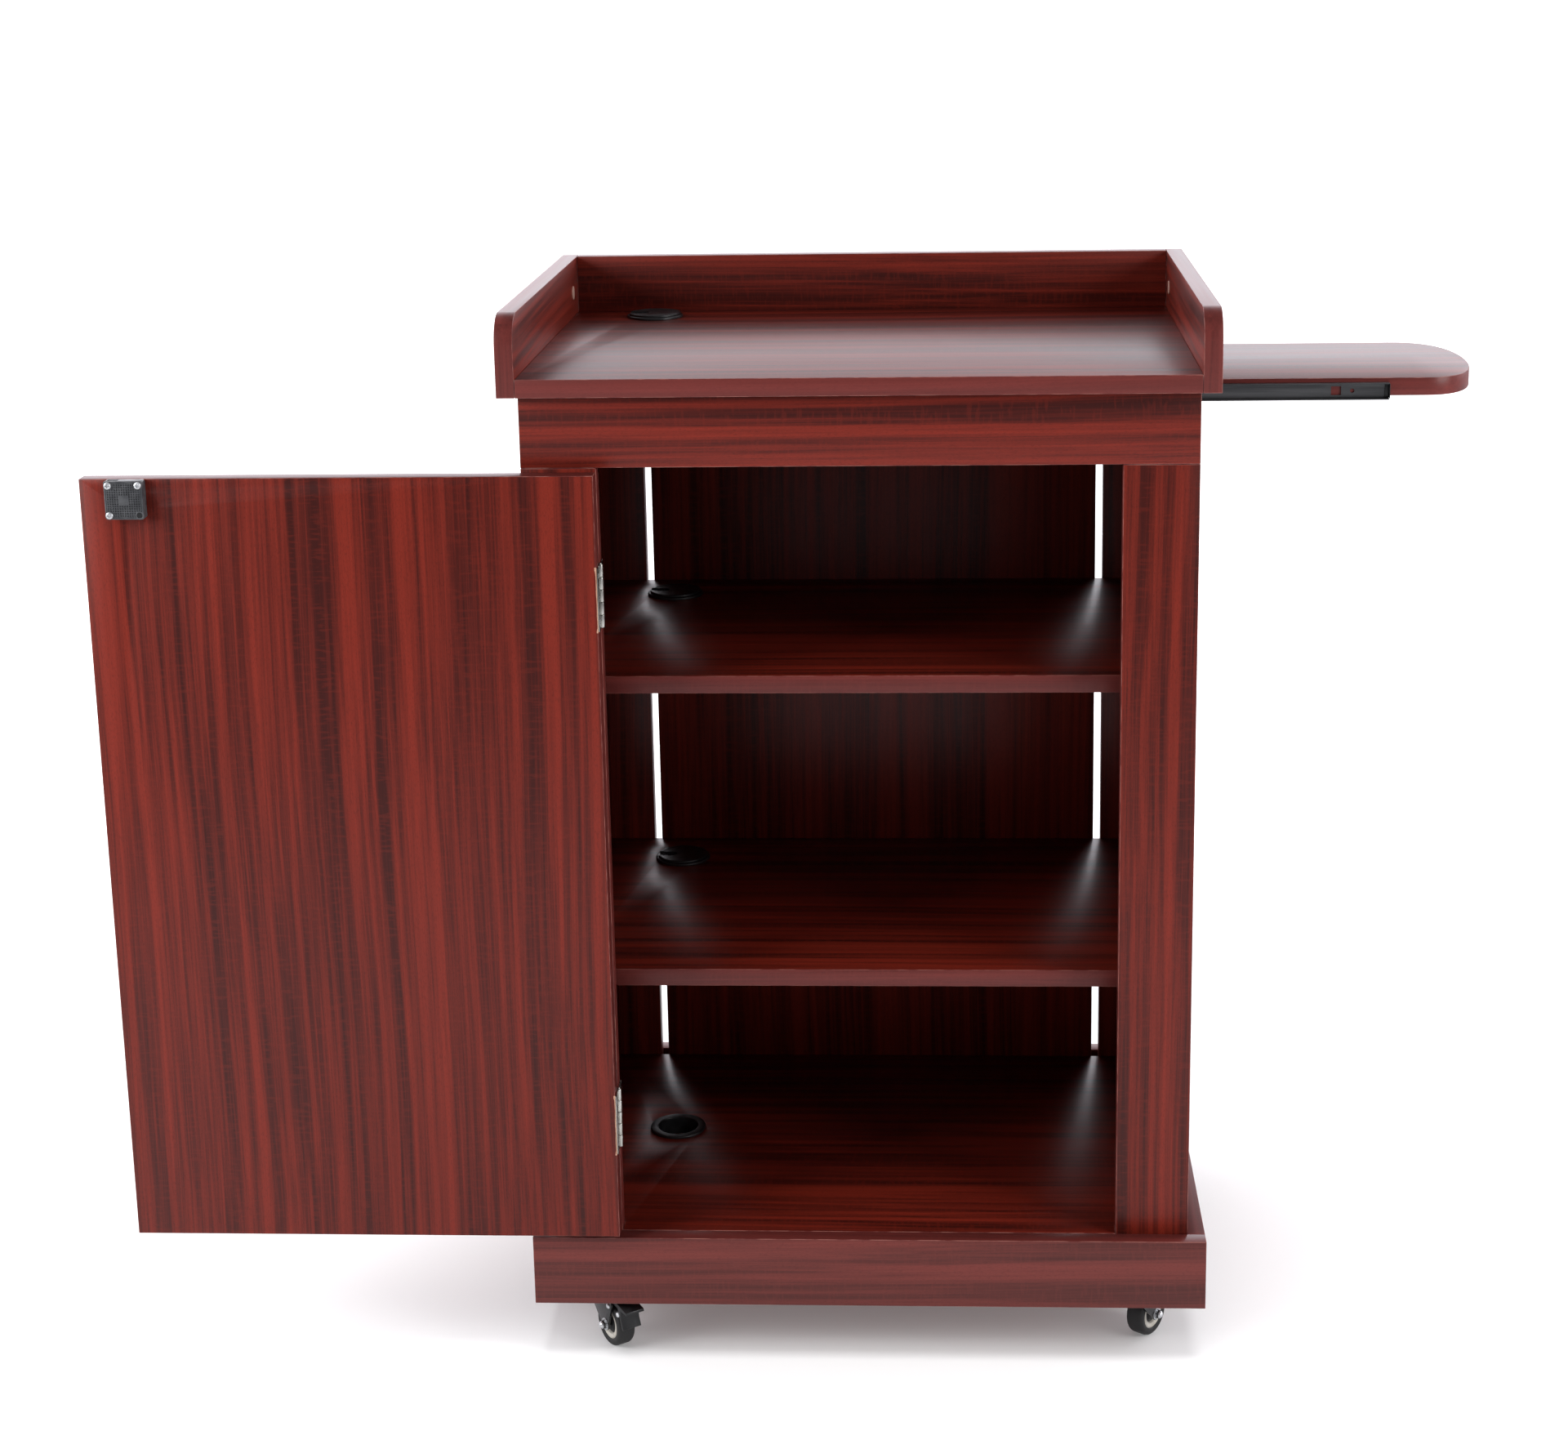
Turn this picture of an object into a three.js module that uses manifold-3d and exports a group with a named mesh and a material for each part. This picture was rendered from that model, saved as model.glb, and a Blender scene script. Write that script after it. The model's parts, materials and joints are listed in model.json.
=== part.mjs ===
// Lectern podium on casters: a cabinet with an inset door, two shelves, a desktop with a low
// gallery round it, a side shelf that slides out on ball-bearing runners, cable grommets and
// four swivel casters.
// Millimetres, +Z up. While it is built, x = 0 is the middle of the cabinet, y = 0 is the front
// plane of its face frame and z = 0 is the floor; +Y points to the back. The last step moves the
// whole group so that the origin is under the middle of the finished model.
// It is built in the pose in which it is shown: door folded right back, side shelf pulled out.
import * as THREE from 'three';
import { mergeVertices } from 'three/addons/utils/BufferGeometryUtils.js';
import Module from 'manifold-3d';

const wasm = await Module();
wasm.setup();

// ---------------------------------------------------------------- driving dimensions
const BOARD = 18;
const GAP = 0.3; // left between pieces that touch

const BODY_W = 660;
const BODY_D = 471;
const STILE_W = 74;
const PLINTH_BOTTOM = 62;
const PLINTH_TOP = 137;
const RAIL_BOTTOM = 947;
const DESK_TOP = 1037;
const DESK_OVERHANG = 18;
const GALLERY_TOP = 1099;
const GALLERY_NOSE_R = 30;
const UPPER_SHELF_TOP = 725;
const LOWER_SHELF_TOP = 411;
const SHELF_SETBACK = 40;
const BACK_SLOT = 8.5; // open gap each side of the centre back panel
const BACK_STILE_IN = 6; // the back stiles are this much narrower than the front ones

const DOOR_BOTTOM = 142;
const DOOR_TOP = 944;
const DOOR_HINGE_CLEARANCE = 3;
const DOOR_LOCK_CLEARANCE = 5;
const DOOR_OPEN = Math.PI; // it folds right back over the left stile

const HINGE_LENGTH = 64;
const HINGE_FROM_DOOR_END = 124; // door end to hinge centre
const HINGE_AXIS_Y = -3.5; // the knuckle stands proud of the face frame
const HINGE_KNUCKLES = 5;
const KNUCKLE_R = 3;
const HINGE_BORE_R = 1.62;
const HINGE_PIN_R = 1.5;
const LEAF_T = 1.2;
const LEAF_W = 16.5;

const LOCK_SIZE = 38;
const LOCK_DEPTH = 12;
const LOCK_FROM_EDGE = 28; // free edge of the door to the lock case
const LOCK_BARREL_R = 8;
const BOLT_THROW = 8;

const SIDE_SHELF_TOP = 1011;
const SIDE_SHELF_FRONT = 112;
const SIDE_SHELF_BACK = 342;
const SIDE_SHELF_INNER_X = 175;
const SIDE_SHELF_STRAIGHT_X = 562; // where the curved end starts
const SIDE_SHELF_TIP_X = 620;
const RUNNER_H = 17;
const RUNNER_DROP = 4; // top of the runner below the top of the side shelf
const RUNNER_LENGTH = 350;
const FIXED_RUNNER_X = -50;

const DESK_GROMMET = [-238, 405];
const SHELF_GROMMET = [-222, 384];
const FLOOR_GROMMET = [-222, 248];
const GROMMET_FLANGE_R = 31;
const GROMMET_SLEEVE_R = 25;
const GROMMET_BORE_R = 22;

const CASTER_X = 280;
const CASTER_FRONT_Y = 31;
const CASTER_REAR_Y = 440;
const CASTER_H = 69;
const WHEEL_R = 25;
const WHEEL_W = 20;
const CASTER_TRAIL = 20;

// ---------------------------------------------------------------- places worked out from them
const HALF_W = BODY_W / 2;
const INNER_X = HALF_W - BOARD; // inner faces of the side panels
const OPENING_X = HALF_W - STILE_W; // edges of the door opening
const DESK_UNDER = DESK_TOP - BOARD;
const BASE_UNDER = CASTER_H + GAP;
const BASE_TOP = BASE_UNDER + BOARD - GAP;
const PANEL_Y = [BOARD + GAP, BODY_D - BOARD - GAP]; // between the front and back frames
const UPRIGHT_Z = [BASE_TOP + GAP, DESK_UNDER - GAP];
const GROMMET_HOLE_R = GROMMET_SLEEVE_R + GAP;
const DOOR_HINGE_X = -OPENING_X + DOOR_HINGE_CLEARANCE;
const DOOR_FREE_X = OPENING_X - DOOR_LOCK_CLEARANCE;
const HINGE_AXIS_X = -OPENING_X + DOOR_HINGE_CLEARANCE / 2;
const LOCK_X = DOOR_FREE_X - LOCK_FROM_EDGE - LOCK_SIZE / 2;
const LOCK_Z = DOOR_TOP - LOCK_SIZE / 2;
const BOLT_X = LOCK_X + 11;
const RUNNER_TOP = SIDE_SHELF_TOP - RUNNER_DROP;
const RUNNER_Z = RUNNER_TOP - RUNNER_H / 2;

// ---------------------------------------------------------------- materials
const paint = (color, roughness, metalness = 0) =>
  new THREE.MeshStandardMaterial({ color, roughness, metalness });
const mahogany = paint(0x6b211c, 0.35);
const nickel = paint(0xc4c2bd, 0.25, 1);
const blackPlastic = paint(0x1c1c1e, 0.45);
const runnerSteel = paint(0x35373a, 0.4, 0.9);
const blackSteel = paint(0x17181a, 0.35, 0.6);
const tyreRubber = paint(0x202022, 0.6);
const zinc = paint(0xb9bcc0, 0.3, 1);

// ---------------------------------------------------------------- shape helpers
function toSolid(geometry) {
  const bare = geometry.clone();
  bare.deleteAttribute('normal');
  bare.deleteAttribute('uv');
  const merged = mergeVertices(bare, 1e-4);
  return new wasm.Manifold(new wasm.Mesh({
    numProp: 3,
    vertProperties: new Float32Array(merged.attributes.position.array),
    triVerts: new Uint32Array(merged.index.array),
  }));
}

function toGeometry(solid) {
  const mesh = solid.getMesh();
  const geometry = new THREE.BufferGeometry();
  geometry.setAttribute('position', new THREE.BufferAttribute(mesh.vertProperties, 3));
  geometry.setIndex(new THREE.BufferAttribute(mesh.triVerts, 1));
  geometry.computeVertexNormals();
  return geometry;
}

function join(first, ...others) {
  return toGeometry(others.reduce((sum, g) => sum.add(toSolid(g)), toSolid(first)));
}

function cut(first, ...others) {
  return toGeometry(others.reduce((rest, g) => rest.subtract(toSolid(g)), toSolid(first)));
}

function box([x0, x1], [y0, y1], [z0, z1]) {
  const geometry = new THREE.BoxGeometry(x1 - x0, y1 - y0, z1 - z0);
  return geometry.translate((x0 + x1) / 2, (y0 + y1) / 2, (z0 + z1) / 2);
}

// An outline drawn in X and Y, given thickness along Z.
function plateAlongZ(shape, [z0, z1], curveSegments = 16) {
  const geometry = new THREE.ExtrudeGeometry(shape, {
    depth: z1 - z0, bevelEnabled: false, curveSegments,
  });
  return geometry.translate(0, 0, z0);
}

// An outline drawn in Y and Z, given length along X.
function plateAlongX(shape, [x0, x1], curveSegments = 12) {
  const geometry = new THREE.ExtrudeGeometry(shape, {
    depth: x1 - x0, bevelEnabled: false, curveSegments,
  });
  const turn = new THREE.Matrix4().makeBasis(
    new THREE.Vector3(0, 1, 0), new THREE.Vector3(0, 0, 1), new THREE.Vector3(1, 0, 0));
  return geometry.applyMatrix4(turn).translate(x0, 0, 0);
}

function rod(radius, axis, from, to, segments = 12) {
  const geometry = new THREE.CylinderGeometry(radius, radius, to - from, segments);
  geometry.translate(0, (from + to) / 2, 0);
  if (axis === 'x') geometry.rotateZ(-Math.PI / 2);
  if (axis === 'z') geometry.rotateX(Math.PI / 2);
  return geometry;
}

// A ring or drum turned about Z: the profile is a closed loop of [radius, height] points.
function turned(profile, segments = 24) {
  const points = profile.map(([r, h]) => new THREE.Vector2(r, h));
  return new THREE.LatheGeometry(points, segments).rotateX(Math.PI / 2);
}

function polygon(points) {
  return new THREE.Shape(points.map(([a, b]) => new THREE.Vector2(a, b)));
}

function circleHole(shape, x, y, radius) {
  const hole = new THREE.Path();
  hole.absarc(x, y, radius, 0, 2 * Math.PI, true);
  shape.holes.push(hole);
}

function rectangle([x0, x1], [y0, y1]) {
  return polygon([[x0, y0], [x1, y0], [x1, y1], [x0, y1]]);
}

const lectern = new THREE.Group();

function add(name, geometry, material, parent = lectern) {
  const mesh = new THREE.Mesh(geometry, material);
  mesh.name = name;
  parent.add(mesh);
  return mesh;
}

// ---------------------------------------------------------------- cabinet
function addBase() {
  const base = rectangle([-HALF_W + GAP, HALF_W - GAP], [GAP, BODY_D - GAP]);
  circleHole(base, ...FLOOR_GROMMET, GROMMET_HOLE_R);
  add('base_board', plateAlongZ(base, [BASE_UNDER, BASE_TOP], 12), mahogany);

  const outerX = HALF_W + BOARD;
  const height = [PLINTH_BOTTOM, PLINTH_TOP];
  add('plinth_front', box([-outerX, outerX], [-BOARD, -GAP], height), mahogany);
  add('plinth_back', box([-outerX, outerX], [BODY_D + GAP, BODY_D + BOARD], height), mahogany);
  for (const [name, side] of [['plinth_left', -1], ['plinth_right', 1]]) {
    const x = [side * (HALF_W + GAP), side * outerX].sort((a, b) => a - b);
    add(name, box(x, [0, BODY_D], height), mahogany);
  }
}

function addSidePanels() {
  add('left_side_panel', box([-HALF_W, -INNER_X], PANEL_Y, UPRIGHT_Z), mahogany);

  // The right panel has a notch under the desktop for the side shelf and its runners.
  const notchY = [SIDE_SHELF_FRONT - 9, SIDE_SHELF_BACK + 9];
  const notchZ = RUNNER_TOP - RUNNER_H - 4;
  const outline = polygon([
    [PANEL_Y[0], UPRIGHT_Z[0]], [PANEL_Y[1], UPRIGHT_Z[0]], [PANEL_Y[1], UPRIGHT_Z[1]],
    [notchY[1], UPRIGHT_Z[1]], [notchY[1], notchZ], [notchY[0], notchZ],
    [notchY[0], UPRIGHT_Z[1]], [PANEL_Y[0], UPRIGHT_Z[1]],
  ]);
  add('right_side_panel', plateAlongX(outline, [INNER_X, HALF_W]), mahogany);
}

function addFrames() {
  const stileZ = [UPRIGHT_Z[0], RAIL_BOTTOM - GAP];
  const railZ = [RAIL_BOTTOM, UPRIGHT_Z[1]];
  const backOpening = OPENING_X + BACK_STILE_IN;
  const faces = [['front', [0, BOARD], OPENING_X], ['back', [BODY_D - BOARD, BODY_D], backOpening]];
  for (const [face, y, inner] of faces) {
    add(`${face}_left_stile`, box([-HALF_W, -inner], y, stileZ), mahogany);
    add(`${face}_right_stile`, box([inner, HALF_W], y, stileZ), mahogany);
    add(`${face}_top_rail`, box([-HALF_W, HALF_W], y, railZ), mahogany);
  }
  const panelX = backOpening - BACK_SLOT;
  add('back_centre_panel', box([-panelX, panelX], faces[1][1], stileZ), mahogany);
}

function addFloorAndShelves() {
  // The floor reaches forward between the stiles to meet the plinth.
  const floor = polygon([
    [-OPENING_X + GAP, GAP], [OPENING_X - GAP, GAP], [OPENING_X - GAP, PANEL_Y[0]],
    [INNER_X - GAP, PANEL_Y[0]], [INNER_X - GAP, PANEL_Y[1]],
    [-INNER_X + GAP, PANEL_Y[1]], [-INNER_X + GAP, PANEL_Y[0]], [-OPENING_X + GAP, PANEL_Y[0]],
  ]);
  circleHole(floor, ...FLOOR_GROMMET, GROMMET_HOLE_R);
  add('floor_panel', plateAlongZ(floor, [PLINTH_TOP - BOARD, PLINTH_TOP], 12), mahogany);

  for (const [name, top] of [['upper_shelf', UPPER_SHELF_TOP], ['lower_shelf', LOWER_SHELF_TOP]]) {
    const shelf = rectangle([-INNER_X + GAP, INNER_X - GAP], [SHELF_SETBACK, PANEL_Y[1]]);
    circleHole(shelf, ...SHELF_GROMMET, GROMMET_HOLE_R);
    add(name, plateAlongZ(shelf, [top - BOARD, top], 12), mahogany);
  }
}

function addTop() {
  const back = BODY_D - BOARD;
  const desk = rectangle([-HALF_W + GAP, HALF_W - GAP], [-DESK_OVERHANG, back - GAP]);
  circleHole(desk, ...DESK_GROMMET, GROMMET_HOLE_R);
  add('desktop', plateAlongZ(desk, [DESK_UNDER, DESK_TOP], 12), mahogany);

  const height = [DESK_UNDER, GALLERY_TOP];
  add('gallery_back', box([-HALF_W + GAP, HALF_W - GAP], [back, BODY_D], height), mahogany);
  const side = new THREE.Shape();
  side.moveTo(BODY_D, DESK_UNDER);
  side.lineTo(BODY_D, GALLERY_TOP);
  side.lineTo(-DESK_OVERHANG + GALLERY_NOSE_R, GALLERY_TOP);
  side.absarc(-DESK_OVERHANG + GALLERY_NOSE_R, GALLERY_TOP - GALLERY_NOSE_R, GALLERY_NOSE_R,
    Math.PI / 2, Math.PI, false);
  side.lineTo(-DESK_OVERHANG, DESK_UNDER);
  side.closePath();
  add('gallery_left', plateAlongX(side, [-HALF_W - BOARD, -HALF_W]), mahogany);
  add('gallery_right', plateAlongX(side, [HALF_W, HALF_W + BOARD]), mahogany);
}

// ---------------------------------------------------------------- cable grommets
function addGrommet(name, [x, y], surface, capped) {
  const rim = surface + 3;
  const ring = turned([
    [GROMMET_BORE_R, surface - BOARD + 1], [GROMMET_SLEEVE_R, surface - BOARD + 1],
    [GROMMET_SLEEVE_R, surface + GAP], [GROMMET_FLANGE_R, surface + GAP],
    [GROMMET_FLANGE_R, rim - 1.2], [GROMMET_FLANGE_R - 1.2, rim], [GROMMET_BORE_R, rim],
    [GROMMET_BORE_R, surface - BOARD + 1],
  ]);
  add(`${name}_grommet`, ring.translate(x, y, 0), blackPlastic);
  if (!capped) return;

  // The cap is a disc with a plug below it, and a notch on the right that lets cables by.
  const plugR = GROMMET_BORE_R - 0.4;
  const disc = turned([
    [0, surface - 6], [plugR, surface - 6], [plugR, rim + GAP], [28.5, rim + GAP],
    [28.5, rim + 1.6], [27, rim + 2.6], [0, rim + 2.6],
  ]);
  const notch = new THREE.Shape();
  notch.moveTo(40, -6.5);
  notch.lineTo(40, 6.5);
  notch.lineTo(13, 6.5);
  notch.absarc(13, 0, 6.5, Math.PI / 2, 3 * Math.PI / 2, false);
  notch.closePath();
  const cap = cut(disc, plateAlongZ(notch, [surface - 10, rim + 10], 8));
  add(`${name}_grommet_cap`, cap.translate(x, y, 0), blackPlastic);
}

// ---------------------------------------------------------------- side shelf and its runners
// A shallow channel that lies along X, its web at webY and its lips reaching to lipY.
function channel([x0, x1], webY, lipY, height, thickness) {
  const way = Math.sign(lipY - webY);
  const [low, high] = [RUNNER_Z - height / 2, RUNNER_Z + height / 2];
  const outline = [
    [webY, low], [lipY, low], [lipY, low + thickness], [webY + way * thickness, low + thickness],
    [webY + way * thickness, high - thickness], [lipY, high - thickness], [lipY, high],
    [webY, high],
  ];
  if (way < 0) outline.reverse();
  return plateAlongX(polygon(outline), [x0, x1]);
}

function addSideShelf() {
  const outline = new THREE.Shape();
  const middle = (SIDE_SHELF_FRONT + SIDE_SHELF_BACK) / 2;
  outline.moveTo(SIDE_SHELF_INNER_X, SIDE_SHELF_FRONT);
  outline.lineTo(SIDE_SHELF_STRAIGHT_X, SIDE_SHELF_FRONT);
  outline.bezierCurveTo(SIDE_SHELF_TIP_X - 16, SIDE_SHELF_FRONT, SIDE_SHELF_TIP_X, middle - 64,
    SIDE_SHELF_TIP_X, middle);
  outline.bezierCurveTo(SIDE_SHELF_TIP_X, middle + 64, SIDE_SHELF_TIP_X - 16, SIDE_SHELF_BACK,
    SIDE_SHELF_STRAIGHT_X, SIDE_SHELF_BACK);
  outline.lineTo(SIDE_SHELF_INNER_X, SIDE_SHELF_BACK);
  outline.closePath();
  const thickness = [SIDE_SHELF_TOP - BOARD, SIDE_SHELF_TOP];
  add('side_shelf', plateAlongZ(outline, thickness, 14), mahogany);

  const movingX = [SIDE_SHELF_INNER_X, SIDE_SHELF_INNER_X + RUNNER_LENGTH];
  const fixedX = [FIXED_RUNNER_X, FIXED_RUNNER_X + RUNNER_LENGTH];
  const battenZ = [RUNNER_TOP - RUNNER_H - 8, UPRIGHT_Z[1]];
  for (const [name, edge, out] of [['front', SIDE_SHELF_FRONT, -1], ['rear', SIDE_SHELF_BACK, 1]]) {
    const moving = channel(movingX, edge + out * GAP, edge + out * 8, RUNNER_H, 1.2);
    add(`${name}_moving_runner`, moving, runnerSteel);
    const fixed = channel(fixedX, edge + out * 10.7, edge + out * 3.5, 10.6, 1.2);
    add(`${name}_fixed_runner`, fixed, runnerSteel);
    const battenY = [edge + out * 11, edge + out * (11 + BOARD)].sort((a, b) => a - b);
    add(`${name}_runner_batten`, box([FIXED_RUNNER_X, INNER_X - GAP], battenY, battenZ), mahogany);
  }
}

// ---------------------------------------------------------------- door, hinges and lock
// A butt hinge leaf with its share of the knuckles. The leaf lies in the plane x = leafX and
// reaches from the knuckle towards +Y; the knuckle axis is at x = 0, y = 0.
function hingeLeaf(leafX, leafY0, centreZ, ownsKnuckle) {
  const bottom = centreZ - HINGE_LENGTH / 2;
  const step = HINGE_LENGTH / HINGE_KNUCKLES;
  const leaf = box([leafX, leafX + LEAF_T], [leafY0, leafY0 + LEAF_W],
    [bottom, bottom + HINGE_LENGTH]);
  const parts = [];
  for (let i = 0; i < HINGE_KNUCKLES; i += 1) {
    if (!ownsKnuckle(i)) continue;
    const z = [bottom + i * step + GAP / 2, bottom + (i + 1) * step - GAP / 2];
    parts.push(rod(KNUCKLE_R, 'z', z[0], z[1]));
    parts.push(box([leafX, leafX + LEAF_T], [HINGE_BORE_R + 0.4, leafY0 + 1], z));
  }
  const bore = rod(HINGE_BORE_R, 'z', bottom - 1, bottom + HINGE_LENGTH + 1);
  return cut(join(leaf, ...parts), bore);
}

function addHinge(name, centreZ, door) {
  const leafY = -HINGE_AXIS_Y + GAP;
  const clearance = DOOR_HINGE_CLEARANCE / 2;
  const frameLeafX = -clearance + GAP / 2;
  const doorLeafX = clearance - GAP / 2 - LEAF_T;
  const frameLeaf = hingeLeaf(frameLeafX, leafY, centreZ, (i) => i % 2 === 0);
  const doorLeaf = hingeLeaf(doorLeafX, leafY, centreZ, (i) => i % 2 === 1);
  frameLeaf.translate(HINGE_AXIS_X, HINGE_AXIS_Y, 0);
  add(`${name}_hinge_frame_leaf`, frameLeaf, nickel);
  add(`${name}_hinge_door_leaf`, doorLeaf, nickel, door);
  const half = HINGE_LENGTH / 2 + 1;
  add(`${name}_hinge_pin`, rod(HINGE_PIN_R, 'z', centreZ - half, centreZ + half), nickel, door);
}

// The door's pieces are drawn shut, about the hinge axis, and the group is then swung open.
function addDoor() {
  const door = new THREE.Group();
  door.position.set(HINGE_AXIS_X, HINGE_AXIS_Y, 0);
  door.rotation.z = -DOOR_OPEN;
  lectern.add(door);

  const shift = ([a, b], by) => [a - by, b - by];
  const panelX = shift([DOOR_HINGE_X, DOOR_FREE_X], HINGE_AXIS_X);
  const panelY = shift([0, BOARD], HINGE_AXIS_Y);
  const lockX = LOCK_X - HINGE_AXIS_X;
  const barrelZ = LOCK_Z - 4;
  const alongY = (radius, from, to) => rod(radius, 'y', from, to, 24).translate(lockX, 0, barrelZ);
  const panel = cut(box(panelX, panelY, [DOOR_BOTTOM, DOOR_TOP]),
    alongY(LOCK_BARREL_R + 0.5, panelY[0] - 1, panelY[1] + 1));
  add('door_panel', panel, mahogany, door);
  addHinge('upper', DOOR_TOP - HINGE_FROM_DOOR_END, door);
  addHinge('lower', DOOR_BOTTOM + HINGE_FROM_DOOR_END, door);

  // Lock case on the inside of the door, bored for the barrel and for the bolt above it.
  const half = LOCK_SIZE / 2;
  const caseY = [panelY[1] + GAP, panelY[1] + GAP + LOCK_DEPTH];
  const boltX = BOLT_X - HINGE_AXIS_X;
  const boltW = 5;
  const boltY = [caseY[0] + 3.5, caseY[0] + 8.5];
  const boltZ = [LOCK_Z - 12, DOOR_TOP - 0.8];
  const caseBlock = box([lockX - half, lockX + half], caseY, [LOCK_Z - half, DOOR_TOP]);
  const boltWay = box([boltX - boltW - GAP, boltX + boltW + GAP],
    [boltY[0] - GAP, boltY[1] + GAP], [boltZ[0] - GAP, DOOR_TOP + 5]);
  const lockCase = cut(caseBlock, boltWay, alongY(5.3, caseY[0] - 1, caseY[0] + 9));
  add('lock_case', lockCase, blackPlastic, door);

  const barrel = join(alongY(LOCK_BARREL_R, panelY[0] - 1, panelY[1] - 1),
    alongY(10, panelY[0] - 2.8, panelY[0] - GAP), alongY(5, panelY[1] - 2, caseY[0] + 8));
  add('lock_barrel', barrel, zinc, door);
  add('lock_bolt', box([boltX - boltW, boltX + boltW], boltY, boltZ), zinc, door);
}

// ---------------------------------------------------------------- casters
const CROWN_Z = [CASTER_H - 10, CASTER_H - 7.4];
const FORK_INNER_X = WHEEL_W / 2 + 1.6;
const LEG_T = 2;

// Top plate with its upper race and the king pin that carries the fork.
function casterPlate() {
  const plate = rectangle([-25, 25], [-21, 21]);
  return join(
    plateAlongZ(plate, [CASTER_H - 2, CASTER_H]),
    rod(15, 'z', CASTER_H - 6.4, CASTER_H - 1, 20),
    rod(4, 'z', CROWN_Z[0] - 2, CASTER_H - 3),
    rod(6.5, 'z', CROWN_Z[0] - 2.6, CROWN_Z[0] - 0.6),
  );
}

// Fork: crown, two raked legs and the axle bolt pressed through them.
function casterFork() {
  const axle = [-CASTER_TRAIL, WHEEL_R];
  const leg = new THREE.Shape();
  leg.moveTo(18, CROWN_Z[1]);
  leg.lineTo(16, CROWN_Z[0] - 6);
  leg.lineTo(axle[0] + 5.6, axle[1] - 4.2);
  leg.absarc(axle[0], axle[1], 7, -0.64, -Math.PI + 0.1, true);
  leg.lineTo(-34, CROWN_Z[0] - 8);
  leg.lineTo(-34, CROWN_Z[1]);
  leg.closePath();
  const crown = rectangle([-FORK_INNER_X - LEG_T, FORK_INNER_X + LEG_T], [-34, 18]);
  const parts = [-FORK_INNER_X - LEG_T, FORK_INNER_X].map((x) => plateAlongX(leg, [x, x + LEG_T], 8));
  const reach = FORK_INNER_X + LEG_T + 5;
  const bolt = rod(3, 'x', -reach, reach).translate(0, axle[0], axle[1]);
  const heads = [-1, 1].map((side) => {
    const x = [side * (FORK_INNER_X + LEG_T - 0.5), side * (reach - 1)].sort((a, b) => a - b);
    return rod(5, 'x', x[0], x[1], 6).translate(0, axle[0], axle[1]);
  });
  const body = join(plateAlongZ(crown, CROWN_Z), ...parts, bolt, ...heads);
  return cut(body, rod(4.3, 'z', CROWN_Z[0] - 1, CROWN_Z[1] + 1));
}

function casterWheel() {
  const half = WHEEL_W / 2;
  const wheel = turned([
    [3.12, -half], [8, -half], [9, -half + 2], [22.4, -half], [24.4, -half + 2.4],
    [WHEEL_R, -half + 6], [WHEEL_R, half - 6],
    [24.4, half - 2.4], [22.4, half], [9, half - 2], [8, half], [3.12, half], [3.12, -half],
  ]);
  return wheel.rotateY(Math.PI / 2).translate(0, -CASTER_TRAIL, WHEEL_R);
}

// Brake pedal: a cheeked shoe between the legs over the trailing side of the wheel, with a
// tongue for the foot. It is hung on a cross rivet near the top of the legs.
const PEDAL_PIVOT = [-31, CROWN_Z[0] - 3.4];

function brakePedal() {
  const [y, z] = PEDAL_PIVOT;
  const side = polygon([
    [y + 4, z - 2.6], [y - 12, z - 3.4], [y - 16, z - 15], [y - 21, z - 25], [y - 24, z - 24],
    [y - 20, z - 15.5], [y - 18.5, z - 3.8], [y - 31, z - 4.5], [y - 30, z - 1.5],
    [y - 6, z + 2.4], [y + 4, z + 2.2],
  ].reverse());
  return plateAlongX(side, [-FORK_INNER_X + 0.8, FORK_INNER_X - 0.8]);
}

function addCaster(name, x, y, heading, braked) {
  const caster = new THREE.Group();
  caster.position.set(x, y, 0);
  lectern.add(caster);
  add(`${name}_caster_plate`, casterPlate(), zinc, caster);
  const swivel = new THREE.Group();
  swivel.rotation.z = THREE.MathUtils.degToRad(heading);
  caster.add(swivel);
  add(`${name}_caster_fork`, casterFork(), blackSteel, swivel);
  add(`${name}_caster_wheel`, casterWheel(), tyreRubber, swivel);
  if (braked) add(`${name}_brake_pedal`, brakePedal(), blackPlastic, swivel);
}

// ---------------------------------------------------------------- assembly
addBase();
addSidePanels();
addFrames();
addFloorAndShelves();
addTop();
addGrommet('desktop', DESK_GROMMET, DESK_TOP, true);
addGrommet('upper_shelf', SHELF_GROMMET, UPPER_SHELF_TOP, true);
addGrommet('lower_shelf', SHELF_GROMMET, LOWER_SHELF_TOP, true);
addGrommet('floor', FLOOR_GROMMET, PLINTH_TOP, false);
addSideShelf();
addDoor();
addCaster('front_left', -CASTER_X, CASTER_FRONT_Y, 36, true);
addCaster('front_right', CASTER_X, CASTER_FRONT_Y, 144, false);
addCaster('rear_left', -CASTER_X, CASTER_REAR_Y, -14, false);
addCaster('rear_right', CASTER_X, CASTER_REAR_Y, 20, true);

// Origin on the floor, under the middle of the model's box.
const bounds = new THREE.Box3().setFromObject(lectern, true);
const middle = bounds.getCenter(new THREE.Vector3());
const model = new THREE.Group();
lectern.position.set(-middle.x, -middle.y, -bounds.min.z);
model.add(lectern);
model.updateMatrixWorld(true);

export default model;
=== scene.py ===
# %% [markdown]
# # Finishing a rolling lectern podium in Blender
# The joinery is already decided: every board, hinge, runner and caster comes from a imported CAD
# frame, and its place and size stay as they are. This notebook gives those parts the surface
# a cabinet maker would see: printed mahogany laminate with thin, slightly worn edges, nickel
# hinges, black moulded plastic and small casters. It starts by loading the frame, and it ends by
# printing the size of the finished model.

# %% Load the imported frame
import json
import math

import bmesh
import bpy
from mathutils import Matrix, Vector


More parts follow.
